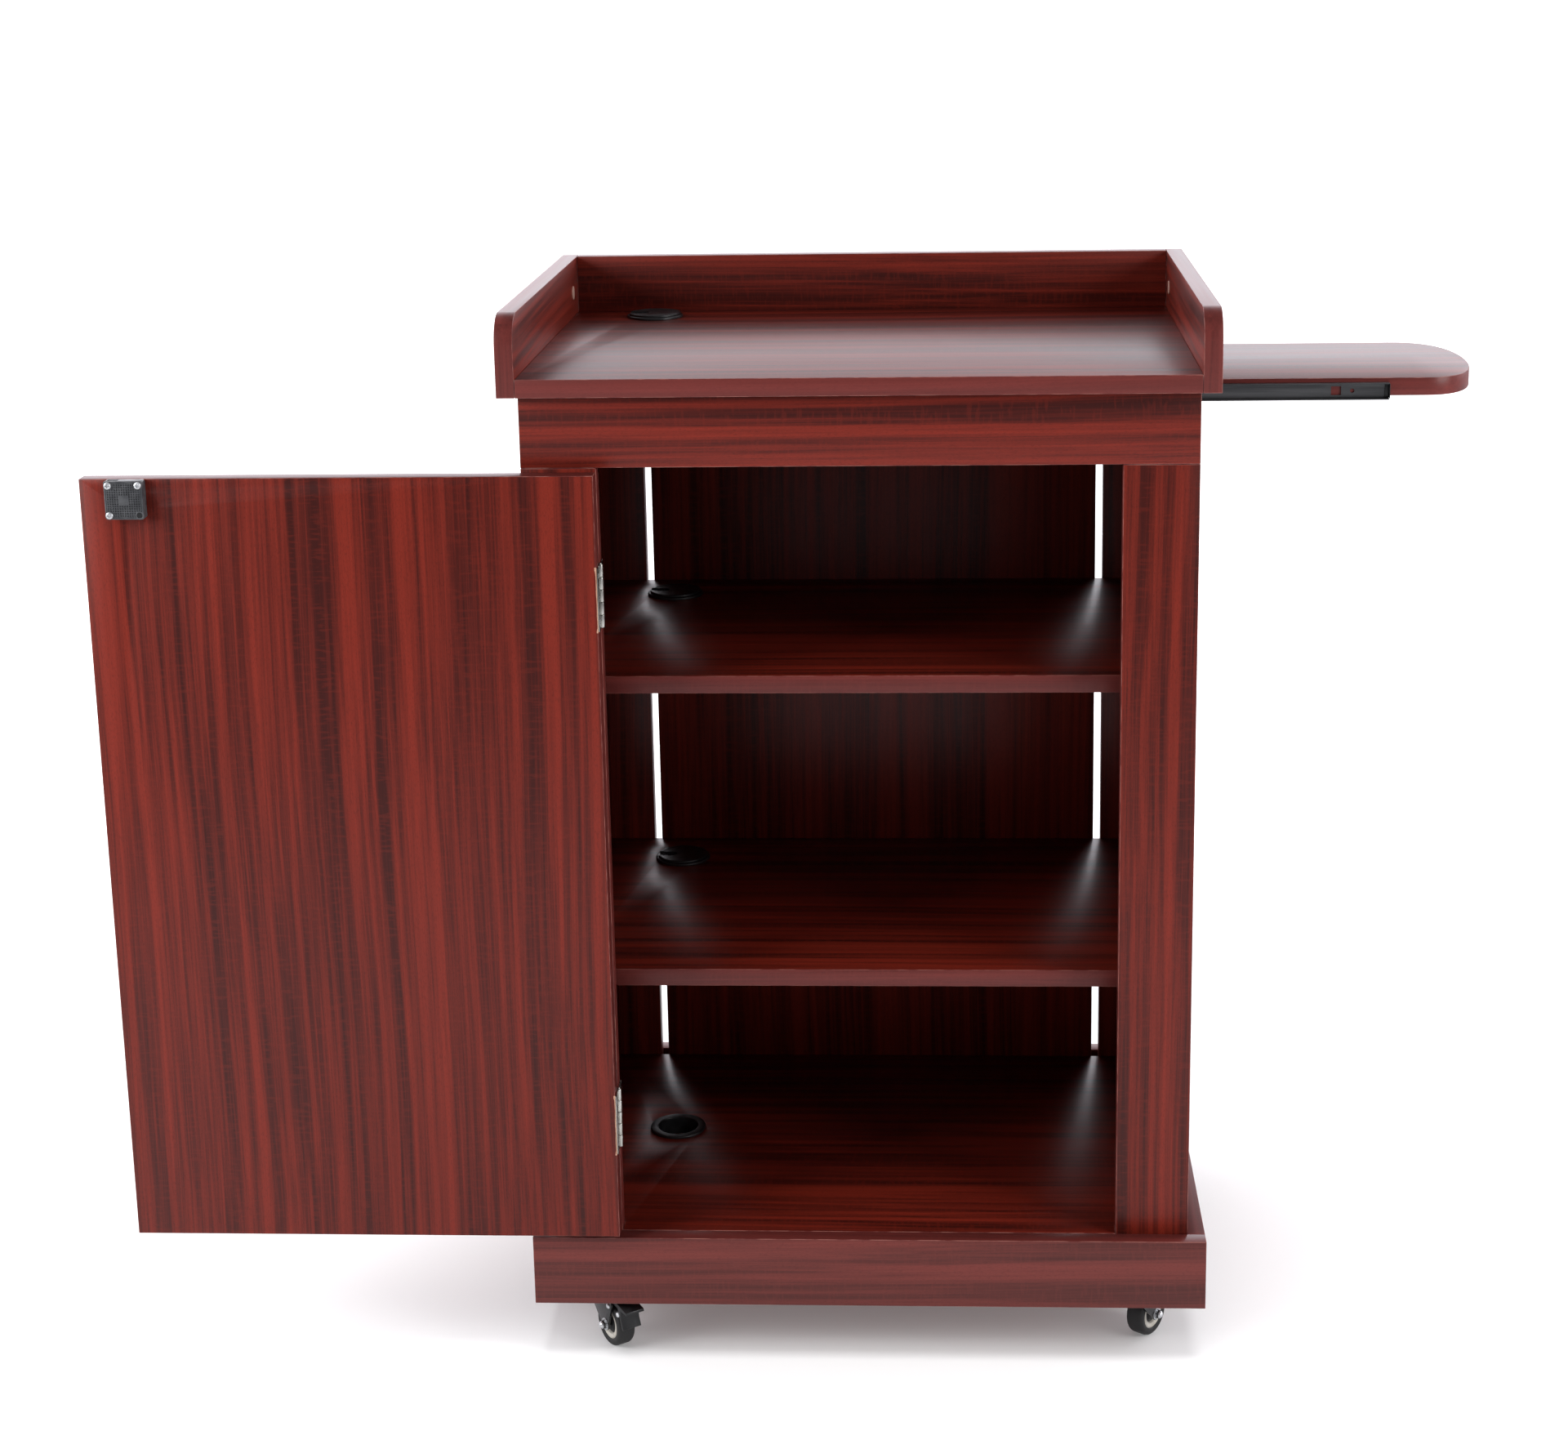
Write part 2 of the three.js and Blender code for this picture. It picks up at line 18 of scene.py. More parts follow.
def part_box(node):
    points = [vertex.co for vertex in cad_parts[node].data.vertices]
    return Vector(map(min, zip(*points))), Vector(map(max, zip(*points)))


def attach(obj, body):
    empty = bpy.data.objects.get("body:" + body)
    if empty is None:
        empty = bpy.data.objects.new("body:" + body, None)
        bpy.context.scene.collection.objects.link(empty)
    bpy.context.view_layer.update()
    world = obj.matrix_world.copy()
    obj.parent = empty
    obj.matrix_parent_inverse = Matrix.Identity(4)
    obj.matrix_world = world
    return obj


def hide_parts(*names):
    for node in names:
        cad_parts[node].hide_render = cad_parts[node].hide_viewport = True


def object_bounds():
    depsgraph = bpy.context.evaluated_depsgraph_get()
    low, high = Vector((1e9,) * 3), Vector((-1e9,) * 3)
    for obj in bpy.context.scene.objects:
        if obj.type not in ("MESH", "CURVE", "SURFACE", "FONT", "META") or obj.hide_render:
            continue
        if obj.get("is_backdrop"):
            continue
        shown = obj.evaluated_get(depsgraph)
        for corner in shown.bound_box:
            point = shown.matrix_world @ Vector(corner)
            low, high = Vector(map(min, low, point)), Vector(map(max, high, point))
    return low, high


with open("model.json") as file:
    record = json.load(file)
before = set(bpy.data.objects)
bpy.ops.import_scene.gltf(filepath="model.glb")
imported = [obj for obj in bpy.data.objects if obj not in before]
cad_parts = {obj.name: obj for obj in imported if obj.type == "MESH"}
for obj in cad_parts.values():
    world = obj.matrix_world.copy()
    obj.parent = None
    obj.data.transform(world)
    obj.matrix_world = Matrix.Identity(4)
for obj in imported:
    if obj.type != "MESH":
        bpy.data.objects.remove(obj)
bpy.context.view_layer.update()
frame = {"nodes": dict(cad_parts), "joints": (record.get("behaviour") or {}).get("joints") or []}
joint = {j["name"]: j for j in frame["joints"]}
MM = 0.001
UP = Vector((0, 0, 1))

# %% [markdown]
# ## Camera
# The camera stands a little to the right of the middle, at standing eye height, and looks slightly
# down and to the left through a long lens. A camera that is tilted down makes upright boards lean
# together, so part of the tilt is given to a small lens shift, which keeps the uprights nearly
# parallel. The place and the three angles are plain numbers, which are easy to tune by hand.

# %% Place the camera
CAMERA_PLACE = Vector((0.162, -2.815, 1.462))
CAMERA_DOWN, CAMERA_LEFT, CAMERA_ROLL = (math.radians(a) for a in (13.46, 2.91, -0.935))
FOCAL_MM, SENSOR_MM = 62.5, 36.0
SHIFT_X, SHIFT_Y = -0.0225, -0.0971

lens = bpy.data.cameras.new("camera")
lens.lens, lens.sensor_width = FOCAL_MM, SENSOR_MM
lens.shift_x, lens.shift_y = SHIFT_X, SHIFT_Y
camera = bpy.data.objects.new("camera", lens)
camera.matrix_world = (Matrix.Translation(CAMERA_PLACE) @ Matrix.Rotation(CAMERA_LEFT, 4, "Z")
                       @ Matrix.Rotation(math.pi / 2 - CAMERA_DOWN, 4, "X")
                       @ Matrix.Rotation(CAMERA_ROLL, 4, "Z"))
bpy.context.scene.collection.objects.link(camera)
bpy.context.scene.camera = camera
bpy.context.scene.view_settings.view_transform = "Standard"
print("camera at", tuple(round(v, 3) for v in CAMERA_PLACE), "lens", lens.lens, "mm")

# %% [markdown]
# ## Writing materials with nodes
# A material here is a small network of nodes. Adding and linking them one by one takes many lines,
# so a few helpers keep the networks short: one adds a node and fills or links its inputs, others
# do a sum, blend two colours, make a soft step or stretched noise, and the last one starts a node
# group with named sockets, so that one pattern can serve several materials.

# %% Node helpers
def node(tree, kind, inputs=(), **settings):
    """Add a node; an input given as a socket is linked, anything else becomes its value."""
    made = tree.nodes.new("ShaderNode" + kind)
    for name, value in settings.items():
        setattr(made, name, value)
    for key, value in dict(inputs).items():
        if isinstance(value, bpy.types.NodeSocket):
            tree.links.new(value, made.inputs[key])
        else:
            made.inputs[key].default_value = value
    return made


def calc(tree, operation, a, b=0.0):
    """One sum on two numbers or sockets."""
    return node(tree, "Math", {0: a, 1: b}, operation=operation).outputs[0]


def mix(tree, factor, a, b):
    """Blend two colours; factor 0 gives a and 1 gives b."""
    return node(tree, "Mix", {0: factor, 6: a, 7: b}, data_type="RGBA").outputs[2]


def ramp(tree, value, low, high, to_low=0.0, to_high=1.0):
    """A smooth step from to_low to to_high while value goes from low to high."""
    settings = {"Value": value, "From Min": low, "From Max": high,
                "To Min": to_low, "To Max": to_high}
    return node(tree, "MapRange", settings, interpolation_type="SMOOTHSTEP").outputs[0]


def noise(tree, vector, stretch, detail=2.0, output="Fac"):
    """Noise whose grains are 1 / stretch metres long along X, Y and Z."""
    scaled = node(tree, "VectorMath", {0: vector, 1: stretch}, operation="MULTIPLY").outputs[0]
    return node(tree, "TexNoise", {"Vector": scaled, "Scale": 1.0, "Detail": detail}).outputs[output]


def start_group(name, inputs, outputs):
    """An empty node group; returns it with its input node and its output node."""
    group = bpy.data.node_groups.new(name, "ShaderNodeTree")
    for socket, kind, value in inputs:
        made = group.interface.new_socket(
            name=socket, in_out="INPUT", socket_type="NodeSocket" + kind)
        if value is not None:
            made.default_value = value
    for socket, kind in outputs:
        group.interface.new_socket(name=socket, in_out="OUTPUT", socket_type="NodeSocket" + kind)
    ends = group.nodes.new("NodeGroupInput"), group.nodes.new("NodeGroupOutput")
    return (group, *ends)


print("node helpers ready")

# %% [markdown]
# ## Laminate grain
# The boards are chipboard with a printed mahogany paper: bright red and dark brown bands 10 to
# 30 mm wide that run along the board, fine dark pores, and short pale ripples across the dark
# bands. An image could carry that print, but a pattern built from stretched noise has no seams
# and stays sharp from close by. Three noises of different width are added: broad bands, narrower
# streaks and fine lines. A slow sway bends them a little, so that no line is quite straight. The
# grain runs along Z inside the group, and each material turns it to its board.

# %% Grain group: bands, streaks and lines
grain, grain_in, grain_out = start_group(
    "laminate_grain",
    [("Vector", "Vector", None), ("Dark", "Color", (0.06, 0.012, 0.01, 1)),
     ("Bright", "Color", (0.25, 0.03, 0.02, 1)), ("Contrast", "Float", 1.0)],
    [("Colour", "Color"), ("Height", "Float"), ("Gloss", "Float")])

raw = grain_in.outputs["Vector"]
SWAY = (0.035, 0.035, 0.0)  # how far a line may wander sideways, in metres
sway = noise(grain, raw, (2.6, 2.6, 1.1), 1.0, "Color")
centred = node(grain, "VectorMath", {0: sway, 1: (0.5, 0.5, 0.5)}, operation="SUBTRACT").outputs[0]
pushed = node(grain, "VectorMath", {0: centred, 1: SWAY}, operation="MULTIPLY").outputs[0]
swayed = node(grain, "VectorMath", {0: raw, 1: pushed}, operation="ADD").outputs[0]
bands = noise(grain, swayed, (46, 46, 0.6), 1.5)
streaks = noise(grain, swayed, (150, 150, 1.6))
lines = noise(grain, swayed, (620, 620, 9))
print("bands, streaks and lines:", len(grain.nodes), "nodes so far")

# %% [markdown]
# ### Adding the three widths
# The three noises are added by share, and a soft step turns the sum into a mask between the dark
# and the bright colour. The contrast input spreads the sum about its middle, so that one group
# gives both the strong print of a face and the calm print of an edge.

# %% Mask between dark and bright
BAND_SHARE, STREAK_SHARE, LINE_SHARE = 0.42, 0.38, 0.20
narrow = calc(grain, "ADD", calc(grain, "MULTIPLY", streaks, STREAK_SHARE),
              calc(grain, "MULTIPLY", lines, LINE_SHARE))
tone = calc(grain, "ADD", calc(grain, "MULTIPLY", bands, BAND_SHARE), narrow)
spread = calc(grain, "MULTIPLY", calc(grain, "SUBTRACT", tone, 0.5), grain_in.outputs["Contrast"])
share = ramp(grain, spread, -0.15, 0.13)  # 0 in a dark band and 1 in a bright one

# %% [markdown]
# ### Pores and ripples
# Pores are short dark pricks all over the print, and ripples are pale cross marks that belong to
# the dark bands only. Each is a finer noise cut to a mask, and the mask blends in the other
# colour. The pores also go out as a height, so that they are felt as tiny dents in the gloss.

# %% Finish the grain group
pores = ramp(grain, noise(grain, swayed, (1300, 1300, 300), 1.0), 0.50, 0.72)
ripple_marks = ramp(grain, noise(grain, swayed, (60, 60, 330), 1.0), 0.5, 0.68)
ripples = calc(grain, "MULTIPLY", ripple_marks, calc(grain, "SUBTRACT", 1.0, share))
printed = mix(grain, share, grain_in.outputs["Dark"], grain_in.outputs["Bright"])
rippled = mix(grain, calc(grain, "MULTIPLY", ripples, 0.22), printed, grain_in.outputs["Bright"])
pored = mix(grain, calc(grain, "MULTIPLY", pores, 0.30), rippled, grain_in.outputs["Dark"])
grain.links.new(pored, grain_out.inputs["Colour"])
grain.links.new(calc(grain, "SUBTRACT", share, pores), grain_out.inputs["Height"])
gloss = calc(grain, "ADD", calc(grain, "MULTIPLY", streaks, 0.12), -0.06)
grain.links.new(gloss, grain_out.inputs["Gloss"])
print("grain group:", len(grain.nodes), "nodes")

# %% [markdown]
# ## Laminates for faces, plinth and edges
# The wide faces carry the strong print. The plinth boards were cut from another sheet, browner and
# less saturated, and part of that pale tone is painted sheen from the floor below them. The narrow
# edges are covered with a separate band, which is a little pinker and much calmer. The grain
# direction is a turn of the coordinates, so there is one material for each axis that the grain may
# follow. The low IOR keeps the sheen of a thin melamine film, which is weaker than that of varnish.

# %% Mahogany faces, plinth and edge bands
GRAIN_TURN = {"x": (0, math.pi / 2, 0), "y": (math.pi / 2, 0, 0), "z": (0, 0, 0)}
LAMINATE_IOR = 1.36
GRAIN_DEPTH = 0.2 * MM


def laminate(name, axis, dark, bright, contrast, roughness):
    material = bpy.data.materials.new(name)
    material.use_nodes = True
    tree = material.node_tree
    shader = tree.nodes["Principled BSDF"]
    place = node(tree, "TexCoord").outputs["Object"]
    turned = node(tree, "Mapping", {"Vector": place, "Rotation": GRAIN_TURN[axis]}).outputs[0]
    paper = node(tree, "Group", node_tree=grain)
    tree.links.new(turned, paper.inputs["Vector"])
    paper.inputs["Dark"].default_value = (*dark, 1)
    paper.inputs["Bright"].default_value = (*bright, 1)
    paper.inputs["Contrast"].default_value = contrast
    relief = node(tree, "Bump", {"Strength": 0.12, "Distance": GRAIN_DEPTH,
                                 "Height": paper.outputs["Height"]})
    tree.links.new(paper.outputs["Colour"], shader.inputs["Base Color"])
    tree.links.new(calc(tree, "ADD", paper.outputs["Gloss"], roughness), shader.inputs["Roughness"])
    tree.links.new(relief.outputs[0], shader.inputs["Normal"])
    shader.inputs["IOR"].default_value = LAMINATE_IOR
    return material


FACE = ((0.052, 0.0070, 0.0050), (0.250, 0.024, 0.012), 1.0, 0.35)  # dark, bright, contrast, roughness
# plinth colours: a browner print, made paler and greyer than the faces as painted sheen from the floor
PLINTH_PRINT_AND_SHEEN = ((0.085, 0.022, 0.019), (0.225, 0.046, 0.038), 0.9, 0.36)
EDGE = ((0.105, 0.021, 0.018), (0.210, 0.038, 0.032), 0.7, 0.34)
face_finish = {a: laminate("mahogany_face_" + a, a, *FACE) for a in "xyz"}
plinth_print_and_sheen = {a: laminate("mahogany_plinth_" + a, a, *PLINTH_PRINT_AND_SHEEN) for a in "xy"}
edge_finish = {a: laminate("mahogany_edge_" + a, a, *EDGE) for a in "xyz"}
print("laminates:", len(face_finish) + len(plinth_print_and_sheen) + len(edge_finish))

# %% [markdown]
# ## Worn lips and bare chipboard
# Where the face meets the edge band there is a thin trimmed line. It is paler than either, and
# broken where it is still sharp. At the hinges the laminate has chipped away to pale chipboard.
# Both are two colours that break into each other in patches, long ones on the lip and tiny ones
# on the chips, so one function makes them.

# %% Lip and chip materials
def broken_paint(name, under, over, size, low, high, roughness):
    """Two colours that break into each other in patches about 1 / size metres across."""
    material = bpy.data.materials.new(name)
    material.use_nodes = True
    tree = material.node_tree
    shader = tree.nodes["Principled BSDF"]
    place = node(tree, "TexCoord").outputs["Object"]
    patches = ramp(tree, noise(tree, place, (size, size, size), 3.0), low, high)
    tree.links.new(mix(tree, patches, (*under, 1), (*over, 1)), shader.inputs["Base Color"])
    worn = calc(tree, "ADD", calc(tree, "MULTIPLY", patches, 0.2), roughness)
    tree.links.new(worn, shader.inputs["Roughness"])
    return material


lip_finish = broken_paint("trimmed_lip", (0.17, 0.035, 0.030), (0.36, 0.13, 0.105),
                          60, 0.40, 0.62, 0.35)
chip_finish = broken_paint("chipped_laminate", (0.55, 0.27, 0.17), (0.76, 0.46, 0.32),
                           1600, 0.3, 0.7, 0.7)
print("lip and chip materials ready")

# %% [markdown]
# ## Metals, plastics and rubber
# Nothing small is one flat colour. A second group gives a soft cloud, fine specks and a height
# for the bump, and each finish picks its own scale and stretch: drawn lines along a runner,
# an orange-peel gloss on the powder-coated forks, spark-eroded grain on moulded plastic.

# %% Surface group
surface, surface_in, surface_out = start_group(
    "surface_texture",
    [("Vector", "Vector", None), ("Cloud", "Vector", (60, 60, 60)),
     ("Speck", "Vector", (1500, 1500, 1500))],
    [("Cloud", "Float"), ("Speck", "Float"), ("Height", "Float")])
spot = surface_in.outputs["Vector"]
for_cloud = node(surface, "VectorMath", {0: spot, 1: surface_in.outputs["Cloud"]},
                 operation="MULTIPLY").outputs[0]
for_speck = node(surface, "VectorMath", {0: spot, 1: surface_in.outputs["Speck"]},
                 operation="MULTIPLY").outputs[0]
cloud = node(surface, "TexNoise", {"Vector": for_cloud, "Scale": 1.0, "Detail": 3.0}).outputs["Fac"]
speck = node(surface, "TexNoise", {"Vector": for_speck, "Scale": 1.0, "Detail": 1.0}).outputs["Fac"]
surface.links.new(ramp(surface, cloud, 0.35, 0.65), surface_out.inputs["Cloud"])
surface.links.new(ramp(surface, speck, 0.45, 0.7), surface_out.inputs["Speck"])
bumps = calc(surface, "ADD", calc(surface, "MULTIPLY", cloud, 0.4), speck)
surface.links.new(bumps, surface_out.inputs["Height"])
print("surface group:", len(surface.nodes), "nodes")

# %% [markdown]
# ### One function for every fitting
# Each finish blends a dark and a light tone by the clouds and specks, and the same mask runs its
# roughness between two limits, so that a duller patch is also a rougher one. The numbers after
# the roughness are the stretch of clouds and of specks, in grains per metre along X, Y and Z.

# %% Fitting finishes
FITTING_DEPTH = 0.3 * MM


def fitting(name, dark, light, roughness, clouds, specks, bump, metallic=0.0, coat=0.0):
    material = bpy.data.materials.new(name)
    material.use_nodes = True
    tree = material.node_tree
    shader = tree.nodes["Principled BSDF"]
    texture = node(tree, "Group", node_tree=surface)
    tree.links.new(node(tree, "TexCoord").outputs["Object"], texture.inputs["Vector"])
    texture.inputs["Cloud"].default_value = clouds
    texture.inputs["Speck"].default_value = specks
    shade = calc(tree, "ADD", calc(tree, "MULTIPLY", texture.outputs["Cloud"], 0.7),
                 calc(tree, "MULTIPLY", texture.outputs["Speck"], 0.3))
    tree.links.new(mix(tree, shade, (*dark, 1), (*light, 1)), shader.inputs["Base Color"])
    tree.links.new(ramp(tree, shade, 0.0, 1.0, *roughness), shader.inputs["Roughness"])
    relief = node(tree, "Bump", {"Strength": bump, "Distance": FITTING_DEPTH,
                                 "Height": texture.outputs["Height"]})
    tree.links.new(relief.outputs[0], shader.inputs["Normal"])
    shader.inputs["Metallic"].default_value = metallic
    shader.inputs["Coat Weight"].default_value = coat
    return material


nickel = fitting("nickel_plate", (0.48, 0.47, 0.43), (0.80, 0.79, 0.75), (0.16, 0.34),
                 (90, 90, 25), (2400, 2400, 300), 0.10, metallic=1.0)
zinc = fitting("zinc_plate", (0.68, 0.70, 0.72), (0.90, 0.92, 0.94), (0.26, 0.46),
               (220, 220, 220), (1800, 1800, 1800), 0.08, metallic=0.72)
moulded = fitting("black_moulding", (0.006, 0.006, 0.007), (0.018, 0.018, 0.019), (0.34, 0.52),
                  (70, 70, 70), (2600, 2600, 2600), 0.16)
grey_moulding = fitting("grey_moulding", (0.045, 0.047, 0.052), (0.105, 0.108, 0.115),
                        (0.30, 0.46), (90, 90, 90), (2600, 2600, 2600), 0.12)
powder_coat = fitting("black_powder_coat", (0.006, 0.006, 0.007), (0.018, 0.019, 0.021),
                      (0.14, 0.28), (60, 60, 60), (1100, 1100, 1100), 0.12, coat=0.4)
runner_grey = fitting("runner_steel", (0.075, 0.077, 0.080), (0.145, 0.148, 0.152),
                      (0.28, 0.42), (6, 120, 120), (30, 2200, 2200), 0.08, metallic=0.8)
rubber = fitting("tyre_rubber", (0.007, 0.007, 0.007), (0.020, 0.019, 0.019), (0.42, 0.66),
                 (110, 110, 110), (1700, 1700, 1700), 0.22)
cream = fitting("cream_hub", (0.56, 0.52, 0.45), (0.74, 0.71, 0.64), (0.26, 0.40),
                (90, 90, 90), (1500, 1500, 1500), 0.06)
print("fitting finishes: nickel, zinc, two mouldings, powder coat, steel, rubber, cream hub")

# %% [markdown]
# ## Turning a bmesh into a piece
# Every new piece is drawn in place, so its object stays at the origin. Flat faces keep flat
# shading and turned or curved ones are smooth up to a sharp corner, which is how a bevelled
# board reads as crisp. Then the piece is told what it rides on, and the CAD nodes it stands for are
# hidden.
# A CAD shape comes as loose triangles, so its copy is merged, and flat triangles are dissolved
# into whole faces, before anything is bevelled.

# %% Piece helper
CORNER = math.radians(32)
SQUARE = 0.9999  # a normal with one part above this lies along an axis


def make_piece(name, bm, materials, body, stands_for=()):
    """Turn a bmesh into a finished piece that rides on a body."""
    mesh = bpy.data.meshes.new(name)
    bm.to_mesh(mesh)
    bm.free()
    old_normals = mesh.attributes.get("custom_normal")
    if old_normals:
        mesh.attributes.remove(old_normals)
    for material in materials:
        mesh.materials.append(material)
    for polygon in mesh.polygons:
        polygon.use_smooth = max(abs(c) for c in polygon.normal) < SQUARE
    mesh.set_sharp_from_angle(angle=CORNER)
    piece = bpy.data.objects.new(name, mesh)
    bpy.context.scene.collection.objects.link(piece)
    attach(piece, body)
    if stands_for:
        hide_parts(*stands_for)
    return piece


def from_cad(name):
    """A merged copy of a CAD node's shape, with its flat sides made whole faces again."""
    bm = bmesh.new()
    bm.from_mesh(frame["nodes"][name].data)
    for face in bm.faces:
        face.material_index = 0
    bmesh.ops.remove_doubles(bm, verts=bm.verts, dist=1e-5)
    bmesh.ops.dissolve_limit(bm, angle_limit=math.radians(1), verts=bm.verts, edges=bm.edges)
    return bm


def ease_corners(bm, width, segments=2, corner=CORNER, material=-1):
    """Bevel every edge that turns more than corner."""
    sharp = [e for e in bm.edges if e.is_manifold and e.calc_face_angle() > corner]
    bmesh.ops.bevel(bm, geom=sharp, offset=width, affect="EDGES", segments=segments,
                    profile=0.5, clamp_overlap=True, material=material)


def edges_along(bm, axis, longer_than):
    """The edges that reach further than a length along X, Y or Z (axis 0, 1 or 2)."""
    return [e for e in bm.edges if abs(e.verts[0].co[axis] - e.verts[1].co[axis]) > longer_than]


print("piece helpers ready")

# %% [markdown]
# ## Boards
# Each board keeps its CAD outline. The sharp corners are eased by half a millimetre, and the new
# bevel faces get the lip finish, which draws the thin trimmed line all round. The wide faces get
# the strong print along the board, or on the four plinth boards the plinth print with its painted
# sheen from the floor, and every narrow face gets the edge band with its grain along that edge.

# %% Board helper
LIP_WIDTH = 0.55 * MM
AXES = "xyz"
WIDE, EDGE_FIRST, EDGE_SECOND, LIP = range(4)  # the four material numbers of a board


def dress_board(name, thin, along, body="cabinet"):
    """thin is the axis through the board and along is the axis of its grain."""
    bm = from_cad(name)
    ease_corners(bm, LIP_WIDTH, material=LIP)
    edge_ways = [a for a in AXES if a != thin]
    for face in bm.faces:
        if face.material_index == LIP:
            continue
        size = [abs(c) for c in face.normal]
        facing = AXES[size.index(max(size))]
        if facing == thin:
            face.material_index = WIDE
        else:  # the band runs along the edge, so across the way the edge faces
            face.material_index = EDGE_SECOND if facing == edge_ways[0] else EDGE_FIRST
    wide = plinth_print_and_sheen if name.startswith("plinth") else face_finish
    finishes = [wide[along], edge_finish[edge_ways[0]], edge_finish[edge_ways[1]], lip_finish]
    return make_piece(name + "_board", bm, finishes, body, [name])


print("board helper ready")

# %% [markdown]
# ### Which way each board lies
# The thin axis picks the wide faces, and the grain follows the length of the board, except on
# the back panel and the sides, where it stands upright as it does on a real cabinet.

# %% Dress every board
BOARDS = {  # board: its thin axis, then its grain axis
    "base_board": "zx", "floor_panel": "zx", "upper_shelf": "zx", "lower_shelf": "zx",
    "desktop": "zx", "plinth_front": "yx", "plinth_back": "yx", "plinth_left": "xy",
    "plinth_right": "xy", "left_side_panel": "xz", "right_side_panel": "xz",
    "front_left_stile": "yz", "front_right_stile": "yz", "front_top_rail": "yx",
    "back_left_stile": "yz", "back_right_stile": "yz", "back_top_rail": "yx",
    "back_centre_panel": "yz", "gallery_back": "yx", "gallery_left": "xy",
    "gallery_right": "xy", "front_runner_batten": "yx", "rear_runner_batten": "yx",
}
for board, (thin, along) in BOARDS.items():
    dress_board(board, thin, along)
dress_board("door_panel", "y", "z", "door")
dress_board("side_shelf", "z", "x", "side_shelf")
print("boards dressed:", len(BOARDS) + 2)

# %% [markdown]
# ## Turned and cut shapes
# Grommets, wheels, screws and pins are all lathe work. Adding cylinders together would leave hard
# corners, so a profile is drawn and spun round Z, then the piece is laid along its real axis.
# Rounded profile corners are short arcs.

# %% Lathe helpers
def arc(radius, height, r, start, end, steps=5):
    """Profile points on an arc about (radius, height), from start to end degrees."""
    turns = [math.radians(start + (end - start) * i / steps) for i in range(steps + 1)]
    return [(radius + r * math.cos(t), height + r * math.sin(t)) for t in turns]


def turn(profile, steps=48, closed=True):
    """Spin a profile of (radius, height) points round Z into a closed shape."""
    bm = bmesh.new()
    points = [bm.verts.new((r, 0, h)) for r, h in profile]
    following = points[1:] + points[:1] if closed else points[1:]
    edges = [bm.edges.new(pair) for pair in zip(points, following)]
    bmesh.ops.spin(bm, geom=points + edges, cent=(0, 0, 0), axis=(0, 0, 1), angle=2 * math.pi,
                   steps=steps, use_merge=True)
    bmesh.ops.remove_doubles(bm, verts=bm.verts, dist=1e-7)
    bmesh.ops.recalc_face_normals(bm, faces=bm.faces)
    return bm


def lay(bm, place, direction=UP):
    """Move a shape drawn about Z so that its Z lies along direction and its origin at place."""
    turned = Vector(direction).to_track_quat("Z", "Y").to_matrix().to_4x4()
    bmesh.ops.transform(bm, matrix=Matrix.Translation(Vector(place)) @ turned, verts=bm.verts)
    return bm


print("lathe helpers ready")

# %% [markdown]
# ### Blocks, cuts and groups of shapes
# Plates and ribs are eased blocks. Notches and screw recesses are cut with a Boolean, which keeps
# the cut edges exact. Small shapes that belong together, such as three screws, are gathered into
# one mesh, and each keeps its own material number.

# %% Block, cut and gather helpers
def block(low, high, ease=0.0, segments=2):
    """A block between two corners, with its edges eased."""
    low, high = Vector(low), Vector(high)
    bm = bmesh.new()
    bmesh.ops.create_cube(bm, size=1.0)
    bmesh.ops.scale(bm, vec=high - low, verts=bm.verts)
    bmesh.ops.translate(bm, vec=(low + high) / 2, verts=bm.verts)
    if ease:
        ease_corners(bm, ease, segments)
    return bm


def gather(shapes):
    """Several shapes as one bmesh; each keeps its own material number."""
    whole = bmesh.new()
    for number, shape in shapes:
        for face in shape.faces:
            face.material_index = number
        mesh = bpy.data.meshes.new("gathered")
        shape.to_mesh(mesh)
        shape.free()
        whole.from_mesh(mesh)
        bpy.data.meshes.remove(mesh)
    return whole


def carve(bm, cutter):
    """Cut one closed shape out of another."""
    pair = []
    for shape in (bm, cutter):
        mesh = bpy.data.meshes.new("carving")
        shape.to_mesh(mesh)
        shape.free()
        pair.append(bpy.data.objects.new("carving", mesh))
        bpy.context.scene.collection.objects.link(pair[-1])
    cut = pair[0].modifiers.new("cut", "BOOLEAN")
    cut.operation, cut.object, cut.solver = "DIFFERENCE", pair[1], "EXACT"
    carved = bmesh.new()
    carved.from_object(pair[0], bpy.context.evaluated_depsgraph_get())
    for thing in pair:
        mesh = thing.data
        bpy.data.objects.remove(thing)
        bpy.data.meshes.remove(mesh)
    return carved


print("block helpers ready")

# %% [markdown]
# ### Screws
# A pan-head screw with a cross recess is used on the runners, hinges, lock and casters. Only its
# head is seen, so only the head is made: a rounded profile on the lathe and two crossed cuts.

# %% Screw head
def pan_screw(radius, height):
    """A pan head with a cross recess, its underside at z = 0."""
    curve = height * 0.7
    profile = [(0, 0), (radius, 0), *arc(radius - curve, height * 0.3, curve, 0, 90), (0, height)]
    head = turn(profile, 32, closed=False)
    arm, slot = radius * 0.62, radius * 0.15
    for size in ((arm, slot), (slot, arm)):
        head = carve(head, block((-size[0], -size[1], height * 0.35), (size[0], size[1], height * 2)))
    return head


print("screw helper ready")

# %% [markdown]
# ## Cable grommets
# A black plastic sleeve with a flange drops into each hole. On the desktop and the shelves a cap
# turns in the sleeve, and its notch lets the cables through. The floor has only the open sleeve.
# The sleeve is one closed ring, so that light falls through its bore.

# %% Grommet sleeves
FLANGE_R, SLEEVE_R, BORE_R = 31 * MM, 25 * MM, 22 * MM


